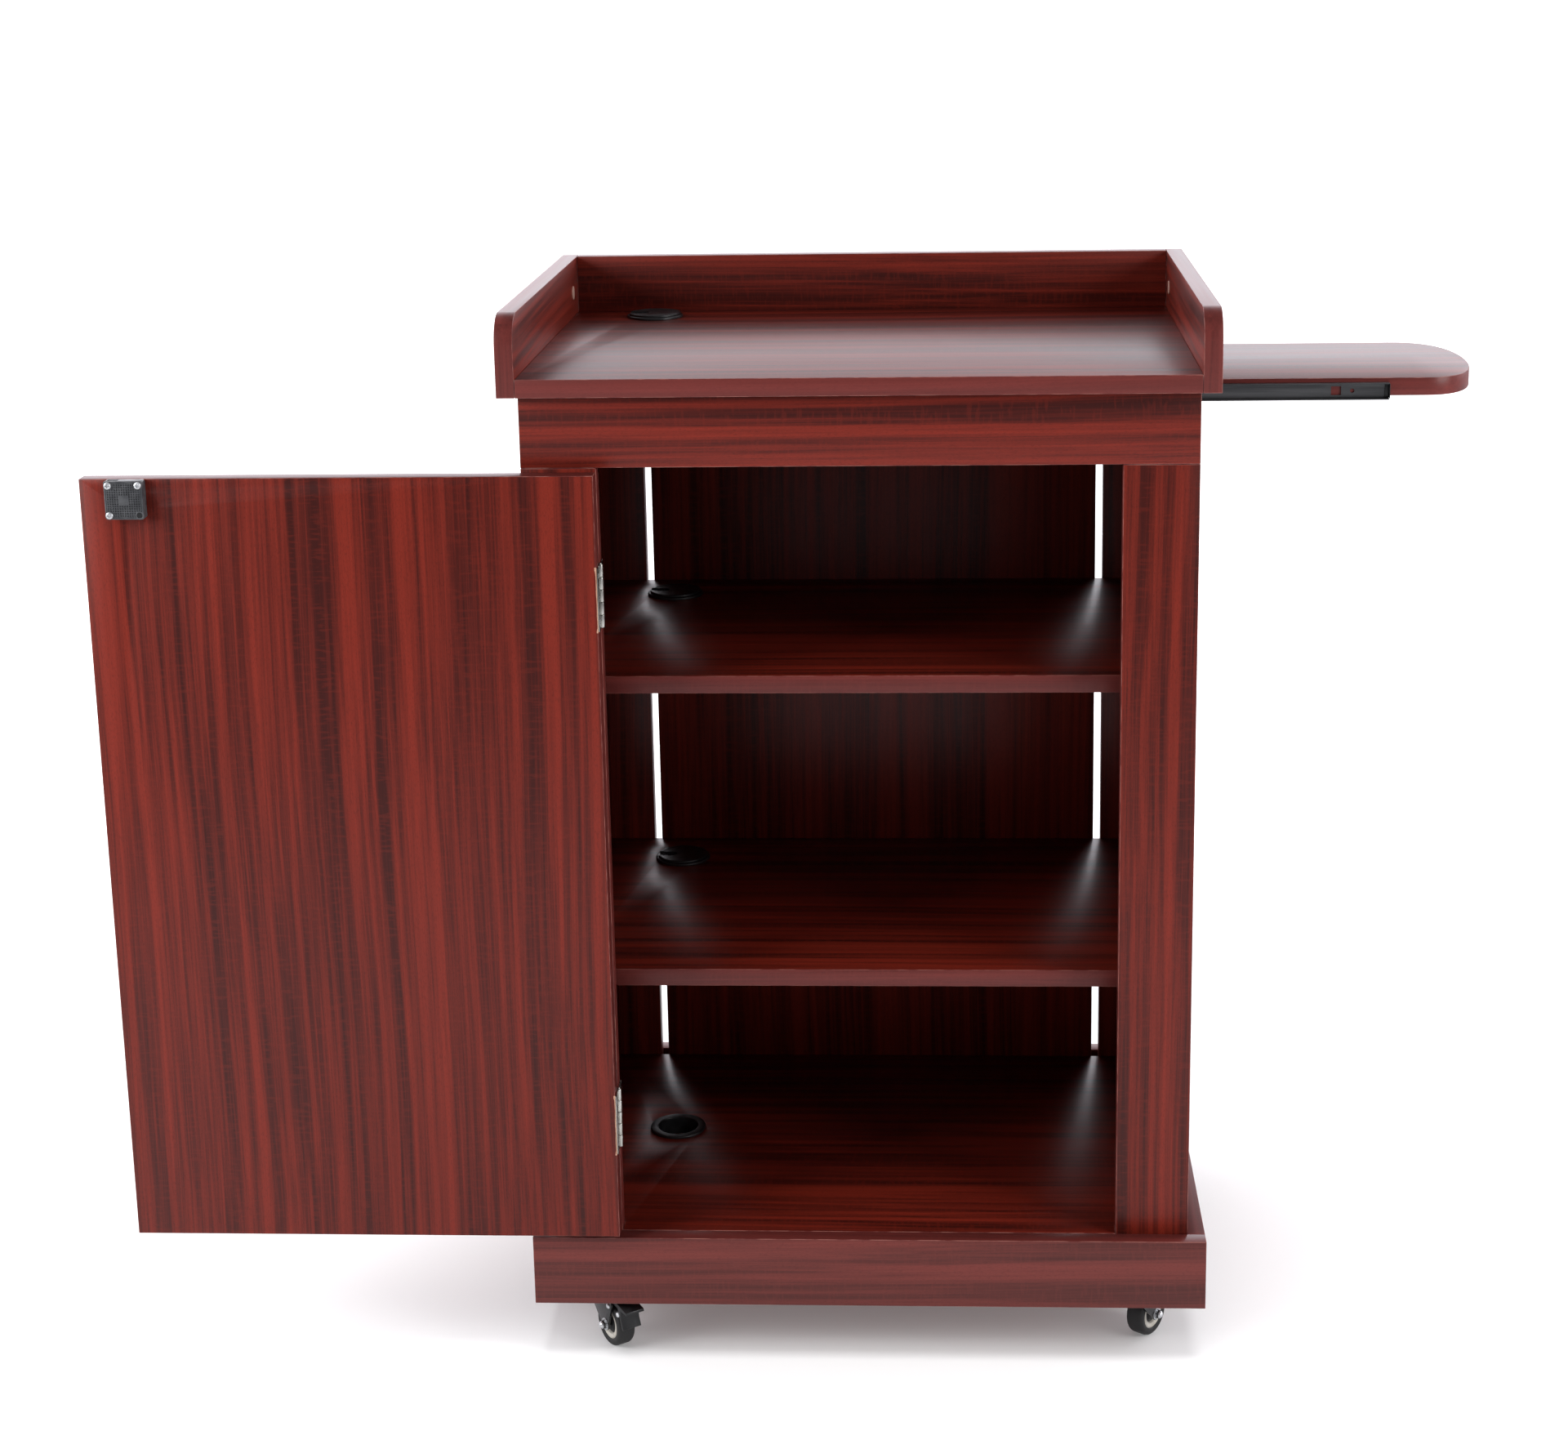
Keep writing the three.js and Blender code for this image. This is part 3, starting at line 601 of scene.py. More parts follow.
def sleeve(name):
    low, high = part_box(name)
    centre = (low + high) / 2
    rim, under = high.z, high.z - 2.7 * MM
    soft = 1.3 * MM
    profile = [(BORE_R, low.z), (SLEEVE_R, low.z), (SLEEVE_R, under), (FLANGE_R, under),
               *arc(FLANGE_R - soft, rim - soft, soft, 0, 90),
               *arc(BORE_R + soft, rim - soft, soft, 90, 180)]
    ring = lay(turn(profile, 72), (centre.x, centre.y, 0))
    return make_piece(name + "_sleeve", ring, [moulded], "cabinet", [name])


print("sleeve helper ready")

# %% [markdown]
# ### Grommet caps
# The cap is a disc with a shallow dish and a plug that fits the bore. Its notch is a straight slot
# with a round end, cut right through after the disc is turned, as the moulding has it.

# %% Sleeves and caps in their places
CAP_R, NOTCH_HALF, NOTCH_REACH = 28.5 * MM, 6.5 * MM, 13 * MM
PLUG_R = BORE_R - 0.4 * MM


def cap(name):
    low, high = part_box(name)
    pivot = Vector(joint[name + "_turn"]["pos_m"])
    top, soft = high.z, 1.4 * MM
    seat = top - 2.3 * MM
    profile = [(0, low.z), (PLUG_R, low.z), (PLUG_R, seat), (CAP_R, seat),
               *arc(CAP_R - soft, top - soft, soft, 0, 90), (CAP_R - 4 * MM, top),
               (CAP_R - 4.6 * MM, top - 0.4 * MM), (0, top - 0.4 * MM)]
    disc = turn(profile, 72, closed=False)
    under, over = low.z - MM, top + MM
    notch = block((NOTCH_REACH, -NOTCH_HALF, under), (2 * CAP_R, NOTCH_HALF, over))
    end = turn([(0, under), (NOTCH_HALF, under), (NOTCH_HALF, over), (0, over)], 32, closed=False)
    disc = carve(carve(disc, notch), lay(end, (NOTCH_REACH, 0, 0)))
    lay(disc, (pivot.x, pivot.y, 0))
    return make_piece(name + "_disc", disc, [moulded], name, [name])


for where in ("desktop", "upper_shelf", "lower_shelf", "floor"):
    sleeve(where + "_grommet")
    if where != "floor":
        cap(where + "_grommet_cap")
print("grommets made: 4 sleeves, 3 caps")

# %% [markdown]
# ## Cam fittings
# The gallery is pulled together from inside with cam fittings, and each is hidden by a thin
# push-in disc near the back corners, paler than the board because it is bare moulded plastic with
# only a hint of the print. The same discs close the fittings under the two shelves.

# %% Cam cover discs
CAM_R, CAM_H = 7.5 * MM, 0.7 * MM
CAM_FROM_BACK, CAM_BELOW_TOP, CAM_FROM_SIDE, CAM_FROM_END = 38 * MM, 36 * MM, 34 * MM, 60 * MM
cam_finish = laminate("cam_cover", "z", (0.42, 0.22, 0.17), (0.66, 0.44, 0.36), 0.5, 0.36)


def cam_cover(name, place, direction):
    soft = 0.35 * MM
    profile = [(0, 0), (CAM_R, 0), *arc(CAM_R - soft, CAM_H - soft, soft, 0, 90, 3), (0, CAM_H)]
    disc = lay(turn(profile, 36, closed=False), place, direction)
    return make_piece(name, disc, [cam_finish], "cabinet")


gallery_low, gallery_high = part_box("gallery_back")
left_inner, right_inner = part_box("gallery_left")[1].x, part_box("gallery_right")[0].x
cam_y, cam_z = gallery_low.y - CAM_FROM_BACK, gallery_high.z - CAM_BELOW_TOP
cam_cover("gallery_left_cam_cover", (left_inner, cam_y, cam_z), (1, 0, 0))
cam_cover("gallery_right_cam_cover", (right_inner, cam_y, cam_z), (-1, 0, 0))
for shelf in ("upper_shelf", "lower_shelf"):
    low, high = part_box(shelf)
    for side, x in (("left", low.x + CAM_FROM_SIDE), ("right", high.x - CAM_FROM_SIDE)):
        for end, y in (("front", low.y + CAM_FROM_END), ("rear", high.y - CAM_FROM_END)):
            cam_cover(f"{shelf}_{side}_{end}_cam_cover", (x, y, low.z), (0, 0, -1))
print("cam covers made: 10")

# %% [markdown]
# ## Side shelf runners
# Two ball-bearing runners carry the side shelf. The moving channel is screwed to the edge of the
# shelf, and the red edge band shows through its square slot and its screw hole. The fixed channel
# sits on a batten inside the cabinet. The bent channels come from the CAD shape with their edges
# eased, and the slot and the hole are cut out of them.

# %% Runner helper
RUNNER_EASE, WEB = 0.25 * MM, 1.2 * MM
SLOT_FROM_END, SLOT_HALF = 52 * MM, Vector((5, 0, 4.4)) * MM
HOLE_FROM_END, HOLE_R = 36 * MM, 2.2 * MM


def runner(name, body, pierced=False):
    shape = from_cad(name)
    ease_corners(shape, RUNNER_EASE, 1)
    low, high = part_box(name)
    if pierced:
        through = Vector((0, high.y - low.y, 0))
        slot = Vector((high.x - SLOT_FROM_END, (low.y + high.y) / 2, (low.z + high.z) / 2))
        shape = carve(shape, block(slot - SLOT_HALF - through, slot + SLOT_HALF + through))
        long = 3 * through.y
        drill = turn([(0, 0), (HOLE_R, 0), (HOLE_R, long), (0, long)], 24, closed=False)
        start = (high.x - HOLE_FROM_END, low.y - through.y, slot.z)
        shape = carve(shape, lay(drill, start, (0, 1, 0)))
    return make_piece(name + "_channel", shape, [runner_grey], body, [name])


print("runner helper ready")

# %% [markdown]
# ### Runner stops and screws
# A black stop closes the outer end of each moving channel: a thin plate flat on the web, and a cap
# over the end. The plate stays thin because the fixed channel slides past it when the shelf goes
# in. Three screws hold each channel to the shelf.

# %% Runners, stops and screws in their places
STOP_LIP, STOP_EDGE, STOP_THICK = 1.2 * MM, 1.3 * MM, 1.65 * MM
SCREWS_FROM_END = (250 * MM, 300 * MM, 335 * MM)


def runner_stop(end, low, high, inner, way):
    """inner is the inside of the web, and way says on which side of it the channel is open."""
    near, far = sorted((inner, inner + way * STOP_THICK))
    bottom, top = low.z + STOP_LIP, high.z - STOP_LIP
    plate = block((high.x - 4 * MM, near, bottom), (high.x + 0.1 * MM, far, top), 0.3 * MM)
    end_cap = block((high.x + 0.05 * MM, low.y + STOP_EDGE, bottom),
                    (high.x + 0.8 * MM, high.y, top), 0.2 * MM)
    return make_piece(end + "_runner_stop", gather([(0, plate), (0, end_cap)]), [moulded],
                      "side_shelf")


for end, way in (("front", -1), ("rear", 1)):
    runner(end + "_moving_runner", "side_shelf", pierced=True)
    runner(end + "_fixed_runner", "cabinet")
    low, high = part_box(end + "_moving_runner")
    inner = (low.y if way > 0 else high.y) + way * WEB
    runner_stop(end, low, high, inner, way)
    middle = (low.z + high.z) / 2
    screws = [(0, lay(pan_screw(3.2 * MM, 1.5 * MM), (high.x - d, inner, middle), (0, way, 0)))
              for d in SCREWS_FROM_END]
    make_piece(end + "_runner_screws", gather(screws), [zinc], "side_shelf")
print("runners made: 4 channels, 2 stops, 6 screws")

# %% [markdown]
# ## Hinges
# Butt hinges with five knuckles: three belong to the frame leaf and two to the door leaf, and a
# pin runs through them all. The leaves are let into the edges and held by three screws each. The
# heads sit below the face of the leaf, because the two leaves lie face to face when the door is
# shut. Every knuckle is its own turned ring with rounded ends, so a hinge keeps its dark joints.

# %% Hinge leaf helper
hinge_axis = Vector(joint["door_swing"]["pos_m"])
LEAF_FROM, LEAF_TO = 1.35 * MM, 0.15 * MM
LEAF_NEAR, LEAF_FAR, HINGE_LONG = 3.8 * MM, 20.3 * MM, 64 * MM
KNUCKLE_R, PIN_R, SCREW_SUNK = 3 * MM, 1.5 * MM, 1.0 * MM


def hinge_leaf(name, body, way, first):
    """way is +1 for the leaf on the frame and -1 for the one on the open door."""
    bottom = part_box(name.replace("door", "frame"))[0].z - 0.15 * MM
    x0, x1 = hinge_axis.x - LEAF_FROM, hinge_axis.x - LEAF_TO
    near, far = sorted((hinge_axis.y + way * LEAF_NEAR, hinge_axis.y + way * LEAF_FAR))
    shapes = [(0, block((x0, near, bottom), (x1, far, bottom + HINGE_LONG), 0.3 * MM))]
    step, gap, soft, bore = HINGE_LONG / 5, 0.2 * MM, 0.35 * MM, PIN_R + 0.1 * MM
    for i in range(first, 5, 2):
        z0, z1 = bottom + i * step + gap, bottom + (i + 1) * step - gap
        ring = turn([(bore, z0), *arc(KNUCKLE_R - soft, z0 + soft, soft, -90, 0, 3),
                     *arc(KNUCKLE_R - soft, z1 - soft, soft, 0, 90, 3), (bore, z1)], 32)
        shapes.append((0, lay(ring, (hinge_axis.x, hinge_axis.y, 0))))
        near, far = sorted((hinge_axis.y + way * 2 * MM, hinge_axis.y + way * (LEAF_NEAR + 0.4 * MM)))
        shapes.append((0, block((x0, near, z0), (x1, far, z1))))
    for share_up, share_out in ((0.14, 0.62), (0.5, 0.45), (0.86, 0.62)):
        y = hinge_axis.y + way * (LEAF_NEAR + (LEAF_FAR - LEAF_NEAR) * share_out)
        sunk = (x1 - SCREW_SUNK, y, bottom + HINGE_LONG * share_up)
        shapes.append((1, lay(pan_screw(3.0 * MM, 1.1 * MM), sunk, (1, 0, 0))))
    return make_piece(name + "_plate", gather(shapes), [nickel, zinc], body, [name])


print("hinge leaf helper ready")

# %% [markdown]
# ### Hinge pins
# The pin is a rod with rounded ends, turned on the hinge line. It belongs to the door's body, as
# it turns with the door leaf.

# %% Hinge pin helper
def hinge_pin(name):
    low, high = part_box(name)
    tip = 0.7 * MM
    profile = [(0, low.z), *arc(PIN_R - tip, low.z + tip, tip, -90, 0, 4),
               *arc(PIN_R - tip, high.z - tip, tip, 0, 90, 4), (0, high.z)]
    shape = lay(turn(profile, 24, closed=False), (hinge_axis.x, hinge_axis.y, 0))
    return make_piece(name + "_rod", shape, [nickel], "door", [name])


print("hinge pin helper ready")

# %% [markdown]
# ### Chipped laminate
# Where the door leaf was let in, the laminate has broken away in a thin ragged line, with a bigger
# chip at each end of the leaf. Paint alone would stay perfectly straight, so a thin strip is
# subdivided along its length and its free side is pushed in and out by two waves of different
# length, which never look regular together.

# %% Chips, and the hinges in their places
CHIP_WIDE, CHIP_DEEP, CHIP_CUTS = 0.55 * MM, 1.2 * MM, 24


def hinge_chip(name, leaf):
    low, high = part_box(leaf)
    door_low, door_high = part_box("door_panel")
    strip = block((door_high.x - CHIP_WIDE, door_low.y - 0.15 * MM, low.z - MM),
                  (door_high.x + 0.1 * MM, door_low.y + CHIP_DEEP, high.z + MM))
    bmesh.ops.subdivide_edges(strip, edges=edges_along(strip, 2, 10 * MM), cuts=CHIP_CUTS,
                              use_grid_fill=True)
    for vert in strip.verts:
        if vert.co.x < door_high.x - 0.3 * MM:
            end = min(abs(vert.co.z - low.z), abs(vert.co.z - high.z)) / MM
            ragged = 0.25 * math.sin(vert.co.z * 2100) + 0.2 * math.sin(vert.co.z * 4700 + 1)
            vert.co.x -= (ragged + (1.6 if end < 2.5 else 0.0)) * 0.6 * MM
    ease_corners(strip, 0.1 * MM, 1)
    return make_piece(name, strip, [chip_finish], "door")


for level in ("upper", "lower"):
    hinge_leaf(level + "_hinge_frame_leaf", "cabinet", 1, 0)
    hinge_leaf(level + "_hinge_door_leaf", "door", -1, 1)
    hinge_pin(level + "_hinge_pin")
    hinge_chip(level + "_hinge_chipped_edge", level + "_hinge_door_leaf")
print("hinges made: 4 leaves, 2 pins, 12 screws")

# %% [markdown]
# ## Door lock
# A small rim lock sits inside the door near its free top corner. Its plastic case is a shallow box
# with a recess in its face and a channel for the bolt. The box is bevelled first and cut after, so
# that the rounding stays on the outside only.

# %% Lock case shell
case_low, case_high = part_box("lock_case")
case_middle = (case_low + case_high) / 2
FACE_Y, CASE_RIM = case_low.y, 1.6 * MM
RECESS_FLOOR = FACE_Y + MM


def lock_shell():
    shell = block(case_low, case_high)
    bmesh.ops.bevel(shell, geom=edges_along(shell, 1, MM), offset=2 * MM, affect="EDGES",
                    segments=4, profile=0.5, material=-1)
    ease_corners(shell, 0.5 * MM, 2, math.radians(60))
    recess = block((case_low.x + CASE_RIM, FACE_Y - MM, case_low.z + CASE_RIM),
                   (case_high.x - CASE_RIM, FACE_Y + 0.9 * MM, case_high.z - CASE_RIM))
    shell = carve(shell, recess)
    bolt_low, bolt_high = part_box("lock_bolt")
    gap = 0.4 * MM
    channel = block((bolt_low.x - gap, bolt_low.y - gap, bolt_low.z),
                    (bolt_high.x + gap, bolt_high.y + gap, case_high.z + MM))
    return carve(shell, channel)


print("lock shell helper ready")

# %% [markdown]
# ### Ribs and bosses
# The recess holds a fine grid of moulded ribs round a small plain panel, with a round boss at each
# corner: three bosses hold screws and the fourth is empty, with a black disc low in its bore as
# painted shade for the deep hole. Upright and level ribs that cross at one height would flicker
# where their tops coincide, so the level ones are 0.05 mm lower.

# %% Lock ribs and bosses
RIB_SPAN, RIB_PITCH, RIB_HALF, RIBS_EACH_WAY = 17.2 * MM, 2.35 * MM, 0.42 * MM, 7
BOSS_AT, BOSS_R = 14.8 * MM, 4.3 * MM


def on_face(low, high, top):
    """A block in the recess, from offsets in X and Z, that ends at top."""
    return block((case_middle.x + low[0], top, case_middle.z + low[1]),
                 (case_middle.x + high[0], RECESS_FLOOR, case_middle.z + high[1]))


def lock_ribs():
    crest = FACE_Y + 0.15 * MM
    ribs = []
    for i in range(-RIBS_EACH_WAY, RIBS_EACH_WAY + 1):
        near, far = i * RIB_PITCH - RIB_HALF, i * RIB_PITCH + RIB_HALF
        ribs.append((0, on_face((near, -RIB_SPAN), (far, RIB_SPAN), crest)))
        ribs.append((0, on_face((-RIB_SPAN, near), (RIB_SPAN, far), crest + 0.05 * MM)))
    panel = 5.2 * MM
    ribs.append((0, on_face((-panel, -panel), (panel, panel), FACE_Y + 0.06 * MM)))
    return ribs


def lock_bosses():
    bosses = []
    for x in (-BOSS_AT, BOSS_AT):
        for z in (-BOSS_AT, BOSS_AT):
            empty = x > 0 > z
            bore = 2.9 * MM if empty else 0.4 * MM
            place = (case_middle.x + x, RECESS_FLOOR, case_middle.z + z)
            profile = [(bore, 0), (BOSS_R, 0), (BOSS_R, 0.9 * MM), (BOSS_R - 0.3 * MM, 1.2 * MM),
                       (bore, 1.2 * MM)]
            bosses.append((0, lay(turn(profile, 32), place, (0, -1, 0))))
            if empty:
                # a black disc low in the empty bore: painted shade for the deep hole
                dark = [(0, 0), (3 * MM, 0), (3 * MM, 0.95 * MM), (0, 0.95 * MM)]
                bosses.append((1, lay(turn(dark, 32, closed=False), place, (0, -1, 0))))
    return bosses


case_shapes = [(0, lock_shell()), *lock_ribs(), *lock_bosses()]
make_piece("lock_case_shell", gather(case_shapes), [grey_moulding, moulded], "door",
           ["lock_case"])
print("lock case made of", len(case_shapes), "shapes")

# %% [markdown]
# ### Lock screws, barrel and bolt
# Three pan heads hold the case. The barrel goes through the door to the key side, where its face
# has a dished ring and a keyway. The bolt slides up through the case, and keeps its CAD shape with
# eased edges.

# %% Lock screws, barrel and bolt
TAIL_R, BARREL_R, RIM_R, TAIL_LONG = 5 * MM, 8 * MM, 10 * MM, 9.8 * MM
KEYWAY_HALF = Vector((0.9, 0, 3.6)) * MM


def lock_screws():
    heads = []
    for x, z in ((-BOSS_AT, BOSS_AT), (BOSS_AT, BOSS_AT), (-BOSS_AT, -BOSS_AT)):
        place = (case_middle.x + x, FACE_Y - 0.1 * MM, case_middle.z + z)
        heads.append((0, lay(pan_screw(3.6 * MM, 1.9 * MM), place, (0, -1, 0))))
    return make_piece("lock_case_screws", gather(heads), [zinc], "door")


def lock_barrel():
    low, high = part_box("lock_barrel")
    pivot = Vector(joint["lock_barrel_turn"]["pos_m"])
    long, soft = high.y - low.y, 0.6 * MM
    under, dish = long - 2.5 * MM, long - 0.5 * MM
    profile = [(0, 0), (TAIL_R, 0), (TAIL_R, TAIL_LONG), (BARREL_R, TAIL_LONG), (BARREL_R, under),
               (RIM_R, under), *arc(RIM_R - soft, long - soft, soft, 0, 90, 3),
               (7 * MM, long), (6.6 * MM, dish), (0, dish)]
    shape = lay(turn(profile, 48, closed=False), (pivot.x, low.y, pivot.z), (0, 1, 0))
    face = Vector((pivot.x, high.y, pivot.z))
    keyway = block(face - KEYWAY_HALF - Vector((0, 6 * MM, 0)), face + KEYWAY_HALF + Vector((0, MM, 0)))
    return make_piece("lock_barrel_turned", carve(shape, keyway), [zinc], "lock_barrel",
                      ["lock_barrel"])


lock_screws()
lock_barrel()
bolt = from_cad("lock_bolt")
ease_corners(bolt, 0.6 * MM, 3)
make_piece("lock_bolt_bar", bolt, [zinc], "lock_bolt", ["lock_bolt"])
print("lock made: 3 screws, barrel, bolt")

# %% [markdown]
# ## Casters
# Each caster has a zinc plate with a ball race, a glossy black pressed fork, and a wheel with a
# cream hub in a black tyre. The wheel turns on a bolt that ends in a domed nut. Two of the four
# have a brake pedal hung on a rivet high in the fork. The four point different ways, so a caster
# is drawn once in its own axes, X along the axle, Y forward, Z up, with its origin under the king
# pin, and each corner's axes come from its swivel and its axle.

# %% Caster axes
PLATE_HALF = Vector((25, 21, 0)) * MM
WHEEL_R, WHEEL_HALF = 25 * MM, 10 * MM
TRAIL = 20 * MM


def caster_axes(name):
    """The matrix that takes a caster's own axes to its corner of the cabinet."""
    pivot = Vector(joint[name + "_swivel"]["pos_m"])
    axle = Vector(joint[name + "_wheel_spin"]["axis"]).normalized()
    forward = UP.cross(axle)
    return Matrix(((axle.x, forward.x, 0, pivot.x), (axle.y, forward.y, 0, pivot.y),
                   (0, 0, 1, 0), (0, 0, 0, 1)))


def put(bm, axes):
    """Take a shape from a caster's own axes to its place."""
    bmesh.ops.transform(bm, matrix=axes, verts=bm.verts)
    return bm


def on_axle(bm, side):
    """Lay a turned shape along the axle; side is 1 or -1 for its two ends."""
    lay(bm, (0, 0, 0), (side, 0, 0))
    bmesh.ops.translate(bm, vec=(0, -TRAIL, WHEEL_R), verts=bm.verts)
    return bm


def in_mm(points):
    """Profile points written in millimetres."""
    return [(r * MM, h * MM) for r, h in points]


print("caster axes ready, front left at", [round(v, 3) for v in caster_axes("front_left").translation])

# %% [markdown]
# ### Caster plates
# The plate is pressed steel with rounded corners and four screws. Under it sits the upper race of
# the ball bearing, and the king pin is riveted over below. Race and pin are turned, and the plate
# is a bevelled block, because only its corners and edges are worked.

# %% Plate helper
def caster_plate(name):
    low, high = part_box(name + "_caster_plate")
    plate = block((-PLATE_HALF.x, -PLATE_HALF.y, high.z - 2 * MM),
                  (PLATE_HALF.x, PLATE_HALF.y, high.z))
    bmesh.ops.bevel(plate, geom=edges_along(plate, 2, MM), offset=5 * MM, affect="EDGES",
                    segments=5, profile=0.5, material=-1)
    ease_corners(plate, 0.3 * MM, 1, math.radians(60))
    top = high.z - 1.5 * MM
    race = [(0, top), (17 * MM, top), (16 * MM, top - 1.6 * MM),
            *arc(13.5 * MM, top - 3.2 * MM, 1.6 * MM, 0, -90, 4), (0, top - 4.8 * MM)]
    rivet, shank = 6.4 * MM, 4 * MM
    pin = [(0, low.z + MM), (5.4 * MM, low.z), (rivet, low.z + 0.8 * MM), (rivet, low.z + 2 * MM),
           (shank, low.z + 2 * MM), (shank, top - 2 * MM), (0, top - 2 * MM)]
    shapes = [(0, plate), (0, turn(race, 48, closed=False)), (0, turn(pin, 36, closed=False))]
    for side in (-1, 1):
        for end in (-1, 1):
            place = (side * 20 * MM, end * 16 * MM, high.z - 2 * MM)
            shapes.append((0, lay(pan_screw(3.8 * MM, 2.2 * MM), place, (0, 0, -1))))
    whole = gather(shapes)
    bmesh.ops.translate(whole, vec=((low.x + high.x) / 2, (low.y + high.y) / 2, 0), verts=whole.verts)
    return make_piece(name + "_caster_plate_pressed", whole, [zinc], "cabinet",
                      [name + "_caster_plate"])


print("caster plate helper ready")

# %% [markdown]
# ### Forks, nuts and rivets
# The fork keeps its CAD shape with softened edges. On the outside of each leg sit a washer, a six
# sided nut with a dome, and two rivets. A nut is only a lathe turn of six steps, so the same
# helper makes the washer and the nut.

# %% Fork helper
LEG_OUT, NUT_END, DOME_R = 13.6 * MM, 20.4 * MM, 4.2 * MM
FORK_RIVETS = ((-28.5 * MM, 49.5 * MM), (-17 * MM, 50.5 * MM))  # Y and Z


def rivet_head():
    profile = [(0, 0), (2.9 * MM, 0), *arc(1.2 * MM, 0.1 * MM, 1.7 * MM, 0, 90, 4), (0, 1.8 * MM)]
    return turn(profile, 24, closed=False)


def drum(radius, low, high, steps):
    """A plain turned disc between two heights; six steps make it a hexagon."""
    return turn([(0, low), (radius, low), (radius, high), (0, high)], steps, closed=False)


def caster_fork(name):
    fork = from_cad(name + "_caster_fork")
    ease_corners(fork, 0.35 * MM)
    make_piece(name + "_caster_fork_pressed", fork, [powder_coat], name + "_fork",
               [name + "_caster_fork"])
    shapes = []
    for side in (-1, 1):
        nut = drum(5.4 * MM, LEG_OUT - 0.3 * MM, LEG_OUT + 1.9 * MM, 6)
        dome = turn([(0, LEG_OUT), (4.6 * MM, LEG_OUT), *arc(0, NUT_END - DOME_R, DOME_R, 0, 90, 7)],
                    32, closed=False)
        washer = drum(6.6 * MM, LEG_OUT - 0.4 * MM, LEG_OUT + 0.4 * MM, 36)
        shapes += [(0, on_axle(shape, side)) for shape in (nut, dome, washer)]
        for y, z in FORK_RIVETS:
            place = (side * (LEG_OUT - 0.1 * MM), y, z)
            shapes.append((0, lay(rivet_head(), place, (side, 0, 0))))
    whole = put(gather(shapes), caster_axes(name))
    return make_piece(name + "_caster_nuts_and_rivets", whole, [zinc], name + "_fork")


print("fork helper ready")

# %% [markdown]
# ### Wheels
# A wheel is three turned rings: a tyre with rounded shoulders, a cream hub that stands a little
# proud of its dish, and a dark cover over the bearing. They are separate pieces because they are
# separate mouldings, and their joints show as fine lines. Their profiles are in millimetres.

# %% Wheel helper
SHOULDER, SEAT = 4.5 * MM, 17 * MM
HUB = in_mm([(11, -6), (12, -8.2), (13, -8.6), (15.6, -9.2), (17.1, -8.4),
             (17.1, 8.4), (15.6, 9.2), (13, 8.6), (12, 8.2), (11, 6)])
COVER = in_mm([(3.1, -8.4), (8, -8.4), (9, -6.6), (11.1, -6), (11.1, 6), (9, 6.6), (8, 8.4), (3.1, 8.4)])


def caster_wheel(name):
    tyre = turn([(SEAT, -9 * MM), (SEAT + 0.8 * MM, -9.6 * MM),
                 *arc(WHEEL_R - SHOULDER, -WHEEL_HALF + SHOULDER, SHOULDER, -90, 0, 7),
                 *arc(WHEEL_R - SHOULDER, WHEEL_HALF - SHOULDER, SHOULDER, 0, 90, 7),
                 (SEAT + 0.8 * MM, 9.6 * MM), (SEAT, 9 * MM)], 72)
    parts = ((tyre, "tyre", rubber, "caster_rubber"),
             (turn(HUB, 60), "hub", cream, "cream_plastic"),
             (turn(COVER, 48), "bearing_covers", moulded, "black_plastic"))
    for shape, what, material, slot in parts:
        stands_for = [name + "_caster_wheel"] if what == "tyre" else []
        put(on_axle(shape, 1), caster_axes(name))
        make_piece(f"{name}_{what}", shape, [material], name + "_wheel", stands_for)


print("wheel helper ready")

# %% [markdown]
# ### Brake pedals
# The pedal is a black moulding that keeps its CAD shape with eased edges, and it carries a rivet
# on each cheek. The CAD frame says which casters have one.

# %% Brake pedals, and the casters in their places
PEDAL_RIVET = Vector((10.7, -44, 45.5)) * MM


def brake_pedal(name):
    pedal = from_cad(name + "_brake_pedal")
    ease_corners(pedal, 0.5 * MM, 2)
    shapes = [(0, pedal)]
    for side in (-1, 1):
        place = (side * PEDAL_RIVET.x, PEDAL_RIVET.y, PEDAL_RIVET.z)
        rivet = lay(rivet_head(), place, (side, 0, 0))
        shapes.append((1, put(rivet, caster_axes(name))))
    return make_piece(name + "_brake_pedal_moulded", gather(shapes), [moulded, zinc],
                      name + "_brake_pedal", [name + "_brake_pedal"])


for corner in ("front_left", "front_right", "rear_left", "rear_right"):
    caster_plate(corner)
    caster_fork(corner)
    caster_wheel(corner)
    if corner + "_brake_pedal" in frame["nodes"]:
        brake_pedal(corner)
print("casters made: 4, two with brakes")

# %% [markdown]
# ## Floor
# A plain pale floor, made as one big disc so that no edge of it is seen. It is a dull grey to the
# light that bounces off it, so that it throws little light up into the cabinet, and nearly white
# when it is looked at directly, where it also glows a little more with distance until it meets
# the white surround. Light Path tells the two apart. Seen from below the floor is clear, so that
# the casters can be looked at.

# %% Floor
FLOOR_RADIUS = 90.0
floor_bm = bmesh.new()
bmesh.ops.create_circle(floor_bm, cap_ends=True, cap_tris=False, segments=96, radius=FLOOR_RADIUS)
floor_mesh = bpy.data.meshes.new("floor")
floor_bm.to_mesh(floor_mesh)
floor_bm.free()
floor = bpy.data.objects.new("floor", floor_mesh)
bpy.context.scene.collection.objects.link(floor)
floor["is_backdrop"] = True

floor_paint = bpy.data.materials.new("floor_paint")
floor_paint.use_nodes = True
tree = floor_paint.node_tree
floor_shader = tree.nodes["Principled BSDF"]
floor_shader.inputs["Roughness"].default_value = 0.8
floor_shader.inputs["Emission Color"].default_value = (1, 1, 1, 1)
seen_directly = node(tree, "LightPath").outputs["Is Camera Ray"]
BOUNCED, DIRECT = (0.52, 0.52, 0.53, 1), (0.88, 0.88, 0.88, 1)
tree.links.new(mix(tree, seen_directly, BOUNCED, DIRECT), floor_shader.inputs["Base Color"])
